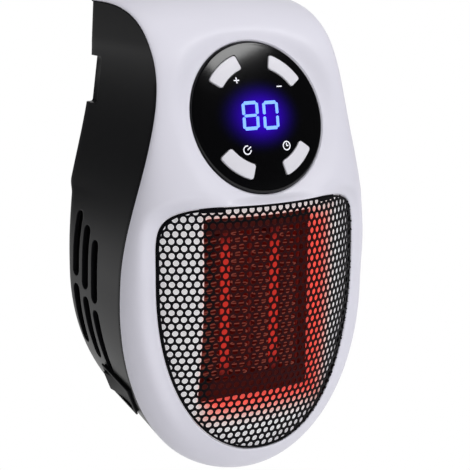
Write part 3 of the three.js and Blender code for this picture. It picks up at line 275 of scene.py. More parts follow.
# What every surface has unless its own look says otherwise
plainLook = {"grainScale": 2600, "cloudScale": 28, "drift": 0.06, "roughSpread": 0.05, "metallic": 0,
             "specular": 0.5, "coat": 0, "coatRoughness": 0.1, "bump": 0.15, "bumpDepth": 0.00004,
             "grainDetail": 3, "edge": 0, "edgeSamples": 4}
looks = {
    "lavender_shell": {"color": (0.58, 0.57, 0.63), "roughness": 0.42, "bump": 0.06, "coat": 0.03,
                       "drift": 0.02, "specular": 0.3},
    "black_shell": {"color": (0.005, 0.005, 0.006), "roughness": 0.36, "bump": 0.16, "edge": 0.00045,
                    "drift": 0.12, "specular": 0.22},
    "grille_black": {"color": (0.003, 0.003, 0.004), "roughness": 0.4, "bump": 0.1, "specular": 0.03},
    "baffle_white": {"color": (0.88, 0.86, 0.86), "roughness": 0.45, "bump": 0.08, "drift": 0.03},
    "key_white": {"color": (0.58, 0.57, 0.61), "roughness": 0.42, "bump": 0.1, "drift": 0.03,
                  "specular": 0.3},
    "board_green": {"color": (0.01, 0.09, 0.035), "roughness": 0.4, "grainScale": 900, "bump": 0.2},
    "moulded_black": {"color": (0.010, 0.010, 0.011), "roughness": 0.4, "bump": 0.2, "edge": 0.0003},
    "rocker_black": {"color": (0.004, 0.004, 0.005), "roughness": 0.5, "bump": 0.2, "specular": 0.1},
    # holder_dark: its faint red glow is painted light of the heater bars
    "holder_dark": {"color": (0.016, 0.003, 0.002), "roughness": 0.6, "grainScale": 1500, "bump": 0.3,
                    "specular": 0.2, "glow": 0.03, "glowColor": (1.0, 0.05, 0.03)},
    "bar_red": {"color": (0.05, 0.006, 0.004), "roughness": 0.45, "bump": 0.25, "specular": 0.2, "glow": 0.06,
                "glowColor": (1.0, 0.04, 0.025)},
    "bar_hot": {"color": (0.05, 0.006, 0.004), "roughness": 0.45, "bump": 0.25, "specular": 0.2},
    # The fins' dark red colour is painted red light of the heater and painted shade, not the aluminium's own
    "fin_aluminium": {"color": (0.03, 0.006, 0.004), "roughness": 0.45, "metallic": 0.3, "bump": 0.2,
                      "specular": 0.2},
    "fan_grey": {"color": (0.022, 0.022, 0.025), "roughness": 0.45, "bump": 0.15},
    "steel": {"color": (0.55, 0.55, 0.56), "roughness": 0.3, "metallic": 1, "grainScale": 1400, "bump": 0.12},
    "brass": {"color": (0.72, 0.56, 0.28), "roughness": 0.26, "metallic": 1, "grainScale": 1400, "bump": 0.1},
    "relay_blue": {"color": (0.02, 0.09, 0.35), "roughness": 0.4, "bump": 0.15},
    "film_yellow": {"color": (0.62, 0.38, 0.04), "roughness": 0.35, "bump": 0.1},
}
panelLook = {"color": (0.0012, 0.0012, 0.0015), "roughness": (0.10, 0.16), "hazeScale": 60, "specular": 0.36,
             "centre": (-0.6, 0, 0.1), "squash": (0.86, 0, 1.12), "reach": 18, "falloff": 1.9,
             "strength": 0.6, "glowColor": (0.06, 0.0, 1.0)}
litLooks = {
    "digit_blue": {"color": (0.1, 0.2, 0.8), "roughness": 0.3, "strength": 1.0,
                   "glowColor": (0.17, 0.36, 1.0)},
    "mark_white": {"color": (0.75, 0.75, 0.8), "roughness": 0.4, "strength": 0.12,
                   "glowColor": (0.9, 0.9, 1.0)}}
litScale, litWander = 900, 0.15


def mottled(name, settings):
    # Moulded or painted surface: fine grain, slow changes of tone and of roughness
    s = {**plainLook, **settings}
    material, tree, shader = newMaterial(name)
    grain = noiseNode(tree, s["grainScale"], s["grainDetail"])
    cloud = noiseNode(tree, s["cloudScale"])
    darker, paler = ([c * (1 + change) for c in s["color"]] + [1] for change in (-s["drift"], s["drift"]))
    tone = addNode(tree, "ShaderNodeMix", {0: cloud, 6: darker, 7: paler}, data_type="RGBA")
    rough = rangeNode(tree, grain, 0, 1, s["roughness"] - s["roughSpread"], s["roughness"] + s["roughSpread"])
    bump = addNode(tree, "ShaderNodeBump", {"Height": grain, "Strength": s["bump"],
                                            "Distance": s["bumpDepth"]})
    if s["edge"]:
        soft = addNode(tree, "ShaderNodeBevel", {"Radius": s["edge"]}, samples=s["edgeSamples"])
        feed(tree, bump, {"Normal": soft.outputs["Normal"]})
    feed(tree, shader, {
        "Base Color": tone.outputs[2], "Normal": bump.outputs["Normal"], "Metallic": s["metallic"],
        "Roughness": rough, "Specular IOR Level": s["specular"], "Coat Weight": s["coat"],
        "Coat Roughness": s["coatRoughness"]})
    if "glow" in s:
        feed(tree, shader, {"Emission Color": [*s["glowColor"], 1], "Emission Strength": s["glow"]})
    return material


def panelMaterial(name, s):
    # Black gloss with a blue glow under it, read from each point's distance to the digits
    material, tree, shader = newMaterial(name)
    flat = addNode(tree, "ShaderNodeAttribute", attribute_name="panelPlace").outputs["Vector"]
    apart = vectorNode(tree, "DISTANCE", vectorNode(tree, "MULTIPLY", flat, s["squash"]), s["centre"])
    fall = rangeNode(tree, apart, 0, s["reach"], 1, 0, "SMOOTHERSTEP")
    amount = mathNode(tree, "MULTIPLY", mathNode(tree, "POWER", fall, s["falloff"]), s["strength"])
    feed(tree, shader, {
        "Base Color": [*s["color"], 1], "Specular IOR Level": s["specular"],
        "Roughness": rangeNode(tree, noiseNode(tree, s["hazeScale"]), 0, 1, *s["roughness"]),
        "Emission Color": [*s["glowColor"], 1], "Emission Strength": amount})
    return material


def litMaterial(name, s):
    # Shining surface whose strength wanders a little
    material, tree, shader = newMaterial(name)
    strength = rangeNode(tree, noiseNode(tree, litScale), 0, 1, s["strength"] * (1 - litWander),
                         s["strength"] * (1 + litWander))
    feed(tree, shader, {"Base Color": [*s["color"], 1], "Roughness": s["roughness"],
                        "Emission Color": [*s["glowColor"], 1], "Emission Strength": strength})
    return material


materials = {name: mottled(name, settings) for name, settings in looks.items()}
materials["panel_gloss"] = panelMaterial("panel_gloss", panelLook)
materials.update({name: litMaterial(name, settings) for name, settings in litLooks.items()})


def distanceNodes(tree, window):
    # How far a point is outside a window of the given left, right, foot and top
    parts = addNode(tree, "ShaderNodeSeparateXYZ", {0: objectPlace(tree)}).outputs
    far = None
    for axis, limit, sign in zip((0, 0, 2, 2), window, (-1, 1, -1, 1)):
        over = mathNode(tree, "MULTIPLY_ADD", parts[axis], sign, -sign * limit)
        far = mathNode(tree, "MAXIMUM", far, over) if far else over
    return far


def rampNodes(tree, value, stops):
    # Colour read from (distance, linear colour) stops
    low, high = stops[0][0], stops[-1][0]
    ramp = addNode(tree, "ShaderNodeValToRGB", {0: rangeNode(tree, value, low, high, 0, 1)})
    while len(ramp.color_ramp.elements) < len(stops):
        ramp.color_ramp.elements.new(0.5)
    for element, (spot, color) in zip(ramp.color_ramp.elements, stops):
        element.position = (spot - low) / (high - low)
        element.color = [*color, 1]
    return ramp.outputs["Color"]


def facingNodes(tree, spot):
    # 1 where a surface is turned towards the given spot
    normal = addNode(tree, "ShaderNodeNewGeometry").outputs["Normal"]
    lean = vectorNode(tree, "DOT_PRODUCT", vectorNode(tree, "SUBTRACT", spot, objectPlace(tree)), normal)
    return mathNode(tree, "GREATER_THAN", lean, 0)


def depthNodes(tree, start):
    # Depth behind a plane of the drawing, in metres
    parts = addNode(tree, "ShaderNodeSeparateXYZ", {0: objectPlace(tree)}).outputs
    return mathNode(tree, "SUBTRACT", parts[1], (toFrame @ Vector((0, start, 0))).y)


def addGlow(material, color, strength=1):
    tree = material.node_tree
    feed(tree, tree.nodes["Principled BSDF"], {"Emission Color": color, "Emission Strength": strength})


# Glow of the outlet, painted as red light of the heater: a red glow and a red tint on the duct's right and
# lower walls, fading over the white plate, which further out gets a painted grey glow that brightens it; a
# faint painted red glow on the grille before the stack, and painted red light at the fins' front edges. The
# windows are left, right, foot and top in the frame, and each list is colours by the distance from one, all
# in metres
heat = {
    "wall": (-0.0175, 0.0245, -0.1116, -0.0494), "bar": (-1, 1, -0.1005, -0.0545),
    "stack": (-0.022, 0.024, -0.1085, -0.0465),
    "netPaintedGlow": [(-0.002, (0.022, 0.0006, 0.0006)), (0.0005, (0.018, 0.0005, 0.0005)), (0.003, (0, 0, 0))],
    "wallPaintedGlow": [(-0.0005, (0.52, 0.060, 0.046)), (0.0010, (0.60, 0.085, 0.066)),
                 (0.0035, (0.50, 0.16, 0.135)), (0.0060, (0.38, 0.26, 0.24)), (0.0095, (0.35, 0.34, 0.35))],
    "wallPaintedTint": [(-0.0005, (0.9, 0.10, 0.08)), (0.0010, (0.9, 0.16, 0.13)), (0.0035, (0.92, 0.42, 0.37)),
                 (0.0060, (0.95, 0.76, 0.73)), (0.0095, (1, 1, 1))],
    "barGlow": [(-0.008, (0.50, 0.022, 0.014)), (-0.002, (0.42, 0.018, 0.012)), (0.002, (0.10, 0.004, 0.003)),
                (0.006, (0.02, 0.001, 0.001))],
    "barFade": (0.0003, 0.0008, 1, 0.12),
    "finPaintedGlow": [(0, (0.20, 0.050, 0.036)), (0.0006, (0.15, 0.034, 0.024)), (0.0011, (0.036, 0.0022, 0.0018)),
                (0.006, (0.040, 0.0012, 0.001))],
    "stackFront": 8.5, "ahead": (0, -60, 0)}
whiteTree = materials["baffle_white"].node_tree
# Painted light on the white plate: red emission and a red tint of its colour near the duct, grey emission
# further out that brightens it, the emission only on the side facing forward
fromDuct = distanceNodes(whiteTree, heat["wall"])
addGlow(materials["baffle_white"], rampNodes(whiteTree, fromDuct, heat["wallPaintedGlow"]),
        facingNodes(whiteTree, toFrame @ Vector(heat["ahead"])))
whiteShader = whiteTree.nodes["Principled BSDF"]
whiteTone = whiteShader.inputs["Base Color"].links[0].from_socket
wallPaintedTint = rampNodes(whiteTree, fromDuct, heat["wallPaintedTint"])
paintedRedTint = addNode(whiteTree, "ShaderNodeMix", {0: 1, 6: whiteTone, 7: wallPaintedTint}, data_type="RGBA",
                 blend_type="MULTIPLY")
feed(whiteTree, whiteShader, {"Base Color": paintedRedTint.outputs[2]})
# Painted red light of the heater on the grille's webs before the stack
netTree = materials["grille_black"].node_tree
addGlow(materials["grille_black"],
        rampNodes(netTree, distanceNodes(netTree, heat["stack"]), heat["netPaintedGlow"]))
barTree = materials["bar_hot"].node_tree
addGlow(materials["bar_hot"], rampNodes(barTree, distanceNodes(barTree, heat["bar"]), heat["barGlow"]),
        rangeNode(barTree, depthNodes(barTree, heat["stackFront"]), *heat["barFade"]))
# Painted light on the fins: bright red at their front edges, painted shade deeper in
finTree = materials["fin_aluminium"].node_tree
addGlow(materials["fin_aluminium"],
        rampNodes(finTree, depthNodes(finTree, heat["stackFront"]), heat["finPaintedGlow"]))

slotOf = {row["node"]: row["material_slot"] for row in frame["record"]["subparts"]}
for node, shape in frame["nodes"].items():
    shape.data.materials.clear()
    shape.data.materials.append(materials[slotOf[node]])
print("materials made")

# Housing form, the same for both shells

housing = {
    "beltHalfWidth": 50.9, "beltLow": 5, "beltHigh": 12, "shoulderHeight": 92, "shoulderHalfWidth": 37.9,
    "crownHalfWidth": 37.2, "crownHeight": 106.2, "bellyDepth": 68, "bellyRoundness": 2.15,
    "bellyParting": 13.4, "hoodFoot": 7.6, "hoodStart": 60, "hoodLength": 50.9, "hoodRise": 46.2,
    "hoodSquareness": 2.85, "hoodSpacing": 1.3, "capBelt": 12, "capDepth": 23.2, "capRoundness": 2.6,
    "hoodCrown": 4, "easeStart": 15, "easeLength": 65, "back": 58.5, "lowerBack": 52.6, "stepTop": 42,
    "stepFoot": 36, "stepShare": 0.7, "waist": 40, "waistPerDepth": 0.0035, "heelRise": 9, "heelHeight": 73,
    "backCorner": 1.5, "wall": 2, "seam": 0.3}
h = housing
hoodPower = 2 / h["hoodSquareness"]
# The front cover's shallow dish round the display
dish = {"level": 0.35, "near": 27.6, "far": 37.5, "band": 2.7}


def halfWidth(height):
    # Half the outline's width, from the belly's superellipse over the belt to the crown
    if height > h["shoulderHeight"]:
        climb = (height - h["shoulderHeight"]) / (h["crownHeight"] - h["shoulderHeight"])
        return mix(h["shoulderHalfWidth"], h["crownHalfWidth"], climb)
    if height > h["beltHigh"]:
        climb = (height - h["beltHigh"]) / (h["shoulderHeight"] - h["beltHigh"])
        return mix(h["shoulderHalfWidth"], h["beltHalfWidth"], swell(climb))
    if height > h["beltLow"]:
        return h["beltHalfWidth"]
    return h["beltHalfWidth"] * bulge((h["beltLow"] - height) / h["bellyDepth"], h["bellyRoundness"])


def capHeight(height):
    # How far the front bulges before the parting line
    if height < h["capBelt"]:
        foot = h["beltLow"] - h["bellyDepth"]
        return h["capDepth"] * bulge((h["capBelt"] - height) / (h["capBelt"] - foot), h["capRoundness"])
    return mix(h["hoodCrown"], h["capDepth"], swell((height - h["easeStart"]) / h["easeLength"]))


def partingDepth(height):
    return mix(h["hoodFoot"], h["bellyParting"], swell(height / h["hoodStart"]))


def hoodPlace(turn):
    # Depth, height and outward direction on the quarter superellipse over the top
    ahead, above = max(0, cos(turn)), sin(turn)
    out = Vector((-(ahead ** (2 - hoodPower)) / h["hoodLength"], above ** (2 - hoodPower) / h["hoodRise"]))
    depth = h["back"] - h["hoodLength"] * ahead ** hoodPower
    return depth, h["hoodStart"] + h["hoodRise"] * above ** hoodPower, out.normalized()


def hoodTurns(steps):
    return [pi / 2 * share ** h["hoodSpacing"] for share in evenly(0, 1, steps)]


outlet = {"halfWidth": 41.6, "top": 38.9, "belt": 14, "bottom": -52, "topPower": 5.5, "footPower": 2.2,
          "front": -9.3, "bendRadius": 73, "bendHeight": 12, "lengthRadius": 265, "bendLimit": 0.9,
          "stand": 0.3, "easeReach": 8.4, "easeFrom": 0.5, "fineSteps": 4000, "loopSteps": 320}


def sheetDepth(x, z):
    # Depth of the bent grille
    o = outlet
    across = o["bendRadius"] - sqrt(o["bendRadius"] ** 2 - min(x * x, o["bendLimit"] * o["bendRadius"] ** 2))
    return o["front"] + across + (z - o["bendHeight"]) ** 2 / (2 * o["lengthRadius"])


def insideShare(x, z):
    # 1 on the outlet's outline, less inside it
    o = outlet
    power = o["topPower"] if z >= o["belt"] else o["footPower"]
    reach = o["top"] - o["belt"] if z >= o["belt"] else o["belt"] - o["bottom"]
    return (abs(x / o["halfWidth"]) ** power + abs((z - o["belt"]) / reach) ** power) ** (1 / power)


def plainDepth(x, z):
    # The front cover's face before it is eased
    return partingDepth(z) - capHeight(z) * sqrt(max(0, 1 - (x / halfWidth(z)) ** 2))


def outletEase(x, z):
    # How far the cover's face is eased back beside the outlet, so that its edge lies just before the grille
    share = insideShare(x, z)
    if share < outlet["easeFrom"]:
        return 0
    edgeX, edgeZ = x / share, mix(outlet["belt"], z, 1 / share)
    drop = sheetDepth(edgeX, edgeZ) - outlet["stand"] - plainDepth(edgeX, edgeZ)
    away = hypot(x - edgeX, z - edgeZ) if share > 1 else 0
    return max(0, drop) * swell(away / outlet["easeReach"])


def dishEase(x, z, depth):
    # Depth eased back to the display's rim where the face would stand in front of it
    climb, tilt = z - display["height"], display["tilt"]
    level = display["depth"] + (dish["level"] + climb * sin(tilt)) / cos(tilt)
    radius = hypot(x, climb / cos(tilt))
    if depth > level or radius > dish["far"]:
        return depth
    amount = swell((radius - dish["near"]) / (dish["far"] - dish["near"]))
    share = insideShare(x, z)
    away = hypot(x, z - outlet["belt"]) * (1 - 1 / share) if share > 1 else 0
    return mix(depth, level, amount * (1 - swell(away / dish["band"])))


def coverDepth(x, z):
    return dishEase(x, z, plainDepth(x, z) + outletEase(x, z))


def coverPoint(station, turn):
    # A station is depth, height, outward direction and share of the crown; the turn goes across the front
    depth, height, out, share = station
    stand = capHeight(height) * sin(turn) * share
    spot = Vector((halfWidth(height) * cos(turn), depth + out[0] * stand, height + out[1] * stand))
    if height <= h["hoodStart"]:
        spot.y += outletEase(spot.x, spot.z)
    spot.y = dishEase(spot.x, spot.z, spot.y)
    return spot


def bellyHeights(steps):
    return [h["beltLow"] - h["bellyDepth"] * sin(pi / 2 * (1 - k / steps)) ** (2 / h["bellyRoundness"])
            for k in range(steps)]


# Outlet opening and grille outline

def outletLoop():
    # Evenly spaced points of the outline with their outward directions
    o = outlet
    fineSteps, count = o["fineSteps"], o["loopSteps"]
    fine = []
    for k in range(fineSteps):
        turn = 2 * pi * k / fineSteps
        up = sin(turn) >= 0
        power = o["topPower"] if up else o["footPower"]
        reach = o["top"] - o["belt"] if up else o["bottom"] - o["belt"]
        x = o["halfWidth"] * abs(cos(turn)) ** (2 / power) * (1 if cos(turn) >= 0 else -1)
        fine.append(Vector((x, o["belt"] + reach * abs(sin(turn)) ** (2 / power))))
    lengths = [(fine[(k + 1) % fineSteps] - fine[k]).length for k in range(fineSteps)]
    step = sum(lengths) / count
    points, walked, k = [], 0.0, 0
    for n in range(count):
        while walked + lengths[k] < n * step and k < fineSteps - 1:
            walked += lengths[k]
            k += 1
        points.append(fine[k].lerp(fine[(k + 1) % fineSteps], (n * step - walked) / lengths[k]))
    ways = [points[(n + 1) % count] - points[n - 1] for n in range(count)]
    return [(point, Vector((way.y, -way.x)).normalized()) for point, way in zip(points, ways)]


loop = outletLoop()


def loopPoint(column, grow=0.0):
    # Point of the outline, moved out by grow
    point, out = loop[column % len(loop)]
    return point + out * grow


# Front cover: one skin from the belly up over the hood, its outlet lip rolled inwards

cover = {"around": 120, "bellyRows": 34, "frontRows": 84, "hoodRows": 34, "closingShares": (0.66, 0.33, 0.0),
         "corner": 50, "rimRound": 0.55, "lipStart": 1.25, "lipEnd": 0.2, "lipDeep": 1.6, "lipLap": 0.6,
         "lipProud": 0.012, "lipRows": 6, "openFrom": -40, "openTo": 11, "seat": 27.3, "seatReach": 14,
         "seatFlare": 0.5, "seatFacets": 160, "seatBand": 34, "seatFade": 5, "seatFront": -12,
         "seatThick": 5.2, "face": (0, -19, 0)}
stations = ([(partingDepth(height), height, (-1, 0), 1) for height in
             bellyHeights(cover["bellyRows"]) + evenly(h["beltLow"], h["hoodStart"], cover["frontRows"])]
            + [(*hoodPlace(turn), 1) for turn in hoodTurns(cover["hoodRows"])[1:]]
            + [(*hoodPlace(pi / 2), share) for share in cover["closingShares"]])


def lipPoint(column, row):
    # From just over the cover's face round a quarter turn, then straight back along the opening's edge
    c = cover
    start, end = c["lipStart"], c["lipEnd"]
    far, near = loopPoint(column, start + c["lipLap"]), loopPoint(column, start)
    farDepth, depth = coverDepth(far.x, far.y), coverDepth(near.x, near.y)
    turnDepth = depth + (depth - farDepth) / c["lipLap"] * (start - end)
    if row == 0:
        return Vector((far.x, farDepth - c["lipProud"], far.y))
    t = min(1, (row - 1) / c["lipRows"])
    spot = loopPoint(column, mix(mix(start, end, t), end, t))
    if row > c["lipRows"] + 1:
        return Vector((spot.x, turnDepth + c["lipDeep"], spot.y))
    rise = mix(mix(depth, turnDepth, t), mix(turnDepth, turnDepth + start - end, t), t)
    return Vector((spot.x, rise - c["lipProud"] / 2, spot.y))


def makeCover():
    c = cover
    skin = gridForm(c["around"], len(stations) - 1, lambda column, row: coverPoint(
        stations[row], pi * (1 - column / c["around"])))
    faceOut(skin, c["face"], (0, -1, 0))
    fromDisplay = displayTurn.inverted()

    def wallAt(spot):
        # Thicker round the display, where its seat is sunk
        local = fromDisplay @ spot
        if local.y <= c["seatFront"]:
            return h["wall"]
        return h["wall"] + c["seatThick"] * swell((hypot(local.x, local.z) - c["seatBand"]) / c["seatFade"])

    thicken(skin, wallAt)
    roundEdges(skin, sharpEdges(skin, c["corner"]), c["rimRound"])
    outline = [tuple(loopPoint(k, c["lipStart"])) for k in range(len(loop))]
    opening = prism(outline, c["openFrom"], c["openTo"])
    seat = lathe([(0, -c["seatReach"]), (c["seat"] + c["seatFlare"] * 2, -c["seatReach"]),
                  (c["seat"] + c["seatFlare"], dish["level"]), (c["seat"], dish["level"] + c["seatFlare"]),
                  (c["seat"], c["seatReach"]), (0, c["seatReach"])], c["seatFacets"], displayTurn)
    return joined([carved(skin, cuts=[opening, seat]), gridForm(len(loop), c["lipRows"] + 2, lipPoint)])


addPiece("frontShell", makeCover(), "housing", "lavender_shell", ["front_cover"], outward=False)
print("front shell made")

# Rear cover: cheeks and back in one skin, with slots, notches, screw wells and the plug's hole

rear = {"upperRows": 30, "straightRows": 20, "stepRows": 8, "lowRows": 30, "bellyRows": 30,
        "cheek": 22, "corner": 6, "across": 28, "rimRound": 0.3, "rimBand": 0.3, "rimTop": 6, "wall": 1.4,
        "rimAngle": 60, "notchLow": 69.8, "notchHigh": 86.6, "notchReach": 8.5, "notchDepth": 3,
        "notchRound": 0.8, "notchCut": 12, "slotWidth": 4.8, "slotFacets": 12, "slotCut": 60,
        "slotColumns": 3, "plugHole": 18.8, "plugFacets": 96, "plugCut": (40, 70), "rockerPlace": (-34, 27),
        "probe": 2, "rockerHole": (5.8, 9.6, 10), "sunk": 0.8, "past": 6, "cheekSpot": (-48, 30, 10)}
# Ends of the first column's middle line as depth and height, with the step from column to column
slotColumns = {
    "upper": {"top": (45.4, 30.0, -6.7, -4.2), "foot": (46.3, 10.6, -6.9, -3.75)},
    "lower": {"top": (46.3, 3.0, -7.0, -3.55), "foot": (45.5, -14.8, -7.9, -4.1)}}
# Screw posts: height and depth of the pairs, the lowest as across, height and depth where the covers meet
post = {"inset": 7.6, "pairs": ((95.6, 38), (38.2, 20)), "lowest": (0, -57, 13), "radius": 3.6,
        "start": 0.3, "end": 1, "well": 3.0, "seat": 3.3, "pilot": 1.6, "facets": 32, "pilotFacets": 20}
posts = [(sign * (halfWidth(height) - post["inset"]), height, meet)
         for height, meet in post["pairs"] for sign in (-1, 1)] + [post["lowest"]]


def backOf(height):
    # Depth of the back, with the plateau for the plug, its step and the sloping heel
    step = h["back"] - h["lowerBack"]
    if height >= h["stepTop"]:
        return h["back"]
    if height >= h["stepFoot"]:
        climb = (height - h["stepFoot"]) / (h["stepTop"] - h["stepFoot"])
        eased = (1 - cos(pi * climb)) / 2
        return mix(h["lowerBack"] + step / 2, h["back"], mix(climb, eased, h["stepShare"]))
    if height >= h["beltHigh"]:
        return h["lowerBack"] + step / 2 * ((height - h["beltHigh"]) / (h["stepFoot"] - h["beltHigh"])) ** 2
    return h["lowerBack"] - h["heelRise"] * ((h["beltHigh"] - height) / h["heelHeight"]) ** 2


def frontOf(height):
    # Depth of the rear cover's front rim, a seam behind the front cover
    if height <= h["hoodStart"]:
        return partingDepth(height) + h["seam"]
    climb = (height - h["hoodStart"]) / (h["hoodRise"] - h["seam"])
    return h["back"] - (h["hoodLength"] - h["seam"]) * bulge(climb, h["hoodSquareness"])


def drawnUp(height, depth):
    # The belly draws up towards the back
    if height >= h["waist"]:
        return height
    return h["waist"] - (h["waist"] - height) * (1 - h["waistPerDepth"] * max(0, depth - h["bellyParting"]))


def sideTurn(height, depth):
    # Frame on the left cheek: its third axis points out, its second along the cheek to the back
    def place(z, y):
        return Vector((-halfWidth(z), y, drawnUp(z, y)))

    here = place(height, depth)
    back = (place(height, depth + rear["probe"]) - here).normalized()
    out = (place(height + rear["probe"], depth) - here).cross(back).normalized()
    return Matrix.Translation(here) @ Matrix((back.cross(out), back, out)).transposed().to_4x4()


rockerTurn = sideTurn(*rear["rockerPlace"])
rearHeights = ([h["hoodStart"] + (h["hoodRise"] - h["seam"]) * sin(t) ** hoodPower
                for t in hoodTurns(rear["upperRows"])[::-1]]
               + evenly(h["hoodStart"], h["stepTop"], rear["straightRows"])[1:]
               + evenly(h["stepTop"], h["stepFoot"], rear["stepRows"])[1:]
               + evenly(h["stepFoot"], h["beltLow"], rear["lowRows"])[1:]
               + bellyHeights(rear["bellyRows"])[::-1])


def rearInward(row):
    # Inward direction of the outline's left side
    above, below = rearHeights[max(0, row - 1)], rearHeights[min(len(rearHeights) - 1, row + 1)]
    way = Vector((halfWidth(above) - halfWidth(below), above - below))
    return Vector((way.y, way.x)).normalized() if row < len(rearHeights) - 1 else Vector((0, 1))


def rearPoint(column, row):
    # Columns go back along one cheek from the rim, round its corner, across the back and forward again
    r = rear
    side = r["cheek"] + r["corner"]
    last = 2 * side + r["across"]
    sign = -1
    if column > side + r["across"]:
        sign, column = 1, last - column
    height = rearHeights[row]
    start, back = frontOf(height), backOf(height)
    radius = min(h["backCorner"], (back - start) / 2)
    share = min(1, column / r["cheek"])
    turn = pi / 2 * min(1, max(0, (column - r["cheek"]) / r["corner"]))
    depth = start + (back - radius - start) * share + radius * sin(turn)
    inward = rearInward(row)
    drawn = radius * (1 - cos(turn))
    x = halfWidth(height) - inward.x * drawn
    z = drawnUp(height, depth) + inward.y * drawn
    if column > side:
        x *= mix(1, -1, (column - side) / r["across"])
    return Vector((sign * x, depth, z))


def slotOutline(column, spec):
    top, foot = (Vector(spec[end][:2]) + Vector(spec[end][2:]) * column for end in ("top", "foot"))
    lean = atan2(foot.y - top.y, foot.x - top.x)
    radius = rear["slotWidth"] / 2
    ends = []
    for centre, start in ((foot, lean - pi / 2), (top, lean + pi / 2)):
        for k in range(rear["slotFacets"] + 1):
            turn = start + pi * k / rear["slotFacets"]
            ends.append((centre.x + radius * cos(turn), centre.y + radius * sin(turn)))
    return ends


def notchPrism(sign, grow, out, back):
    # Slanted finger notch in one cheek, grown by a wall for its lining
    r = rear
    low, high, depth = r["notchLow"] - grow, r["notchHigh"] + grow, r["notchDepth"] + grow
    outline = [(sign * (halfWidth(low) - depth), low), (sign * (halfWidth(low) + out), low),
               (sign * (halfWidth(high) + out), high), (sign * (halfWidth(high) - depth), high)]
    return prism(outline, h["back"] - r["notchReach"] - grow, back)


def undersideDepth(height):
    level = (h["waist"] - height) / (h["waist"] - rearHeights[-1])
    return h["bellyParting"] + (1 - level) / h["waistPerDepth"]


def makeRear():
    r = rear
    columns, rows = 2 * (r["cheek"] + r["corner"]) + r["across"], len(rearHeights) - 1
    skin = gridForm(columns, rows, lambda column, row: rearPoint(column, rows - row))
    faceOut(skin, r["cheekSpot"], (-1, 0, 0))
    thicken(skin, r["wall"])
    rim = [e for e in sharpEdges(skin, r["rimAngle"])
           if abs((e.verts[0].co.y + e.verts[1].co.y) / 2 - frontOf(e.verts[0].co.z)) < r["rimBand"]
           and e.verts[0].co.z < h["crownHeight"] - r["rimTop"]]
    roundEdges(skin, rim, r["rimRound"], 2)
    unions, cuts = [], []
    for sign in (-1, 1):
        unions.append(notchPrism(sign, h["wall"], -r["sunk"], h["back"] - r["sunk"]))
        hollow = notchPrism(sign, 0, r["notchCut"], h["back"] + r["past"])
        roundEdges(hollow, hollow.edges, r["notchRound"])
        cuts.append(hollow)
    for spec in slotColumns.values():
        for column in range(r["slotColumns"]):
            cuts.append(prism(slotOutline(column, spec), -r["slotCut"], r["slotCut"], axis="x"))
    p = post
    for across, height, meet in posts:
        at = (across, height, p["facets"])
        unions.append(cylinder(p["radius"], meet + p["start"], h["back"] - p["end"], *at))
        cuts.append(cylinder(p["well"], meet + p["seat"], h["back"] + r["past"], *at))
        cuts.append(cylinder(p["pilot"], meet, h["back"], across, height, p["pilotFacets"]))
    for vert in unions[-1].verts:
        # The lowest post ends inside the sloping underside
        if vert.co.y > p["lowest"][2] + p["end"]:
            vert.co.y = undersideDepth(vert.co.z) - r["wall"] / 2
    cuts.append(cylinder(r["plugHole"], *r["plugCut"], 0, plugFace["height"], r["plugFacets"]))
    cuts.append(box([-half for half in r["rockerHole"]], r["rockerHole"], turn=rockerTurn))
    return carved(skin, unions, cuts)


addPiece("rearShell", makeRear(), "housing", "black_shell", ["rear_cover"], outward=False)
print("rear shell made")

# Grille: a bent sheet with round holes in staggered rows, its rim and its two tabs

grille = {"pitch": 2.9, "row": 2.511, "hole": 1.1, "thick": 0.45, "facets": 12, "wholeShare": 0.965,
          "trimShare": 1.004, "spare": 1.1, "weld": 0.02, "sliver": 0.004, "rimWidth": 0.7, "rimRound": 0.35,
          "rimDeep": 1.0, "rimEase": 0.12, "sunk": 0.1, "tabOffset": 24.4, "tabWidth": 8, "tabHeight": 1.0,
          "tabFoot": 1.7, "tabThick": 0.8, "tabSteps": 8, "roundSteps": 4}


def makeCell():
    # One hole in a hexagon of sheet
    g = grille
    cell = bmesh.new()
    inner = bmesh.ops.create_circle(cell, segments=g["facets"], radius=g["hole"])["verts"]
    outer = bmesh.ops.create_circle(cell, segments=g["facets"], radius=g["pitch"] / 2)["verts"]
    for k, (near, far) in enumerate(zip(inner, outer)):
        turn = 2 * pi * k / g["facets"]
        reach = g["pitch"] / 2 / (cos(pi / 6) if k % 2 else 1)
        near.co = (g["hole"] * cos(turn), 0, g["hole"] * sin(turn))
        far.co = (reach * cos(turn), 0, reach * sin(turn))
    bmesh.ops.bridge_loops(cell, edges=cell.edges[:])
    return meshOf("cell", cell)


def makeNet():
    # Laid out flat along the bend, trimmed to the outline, then bent
    g = grille
    cell = makeCell()
    net = bmesh.new()
    bend = outlet["bendRadius"]
    columns = ceil(outlet["halfWidth"] * g["spare"] / g["pitch"]) + 1
    for row in range(floor(outlet["bottom"] / g["row"]) - 1, ceil(outlet["top"] / g["row"]) + 2):
        for column in range(-columns, columns + 1):
            x, z = (column + (row % 2) / 2) * g["pitch"], row * g["row"]
            inward = g["wholeShare"]
            if insideShare(bend * sin(x / bend) * inward, mix(outlet["belt"], z, inward)) > 1:
                continue
            start = len(net.verts)
            net.from_mesh(cell)
            net.verts.ensure_lookup_table()
            bmesh.ops.translate(net, verts=net.verts[start:], vec=(x, 0, z))
    bpy.data.meshes.remove(cell)
    bmesh.ops.remove_doubles(net, verts=net.verts, dist=g["weld"])
    for vert in net.verts:
        vert.co.x = bend * sin(vert.co.x / bend)
        share = insideShare(vert.co.x, vert.co.z) * g["trimShare"]
        if share > 1:
            vert.co.x /= share
            vert.co.z = mix(outlet["belt"], vert.co.z, 1 / share)
        vert.co.y = sheetDepth(vert.co.x, vert.co.z) + g["sunk"]
    bmesh.ops.dissolve_degenerate(net, edges=net.edges, dist=g["sliver"])
    faceOut(net, (0, outlet["front"], 0), (0, -1, 0))
    thicken(net, g["thick"])
    return net


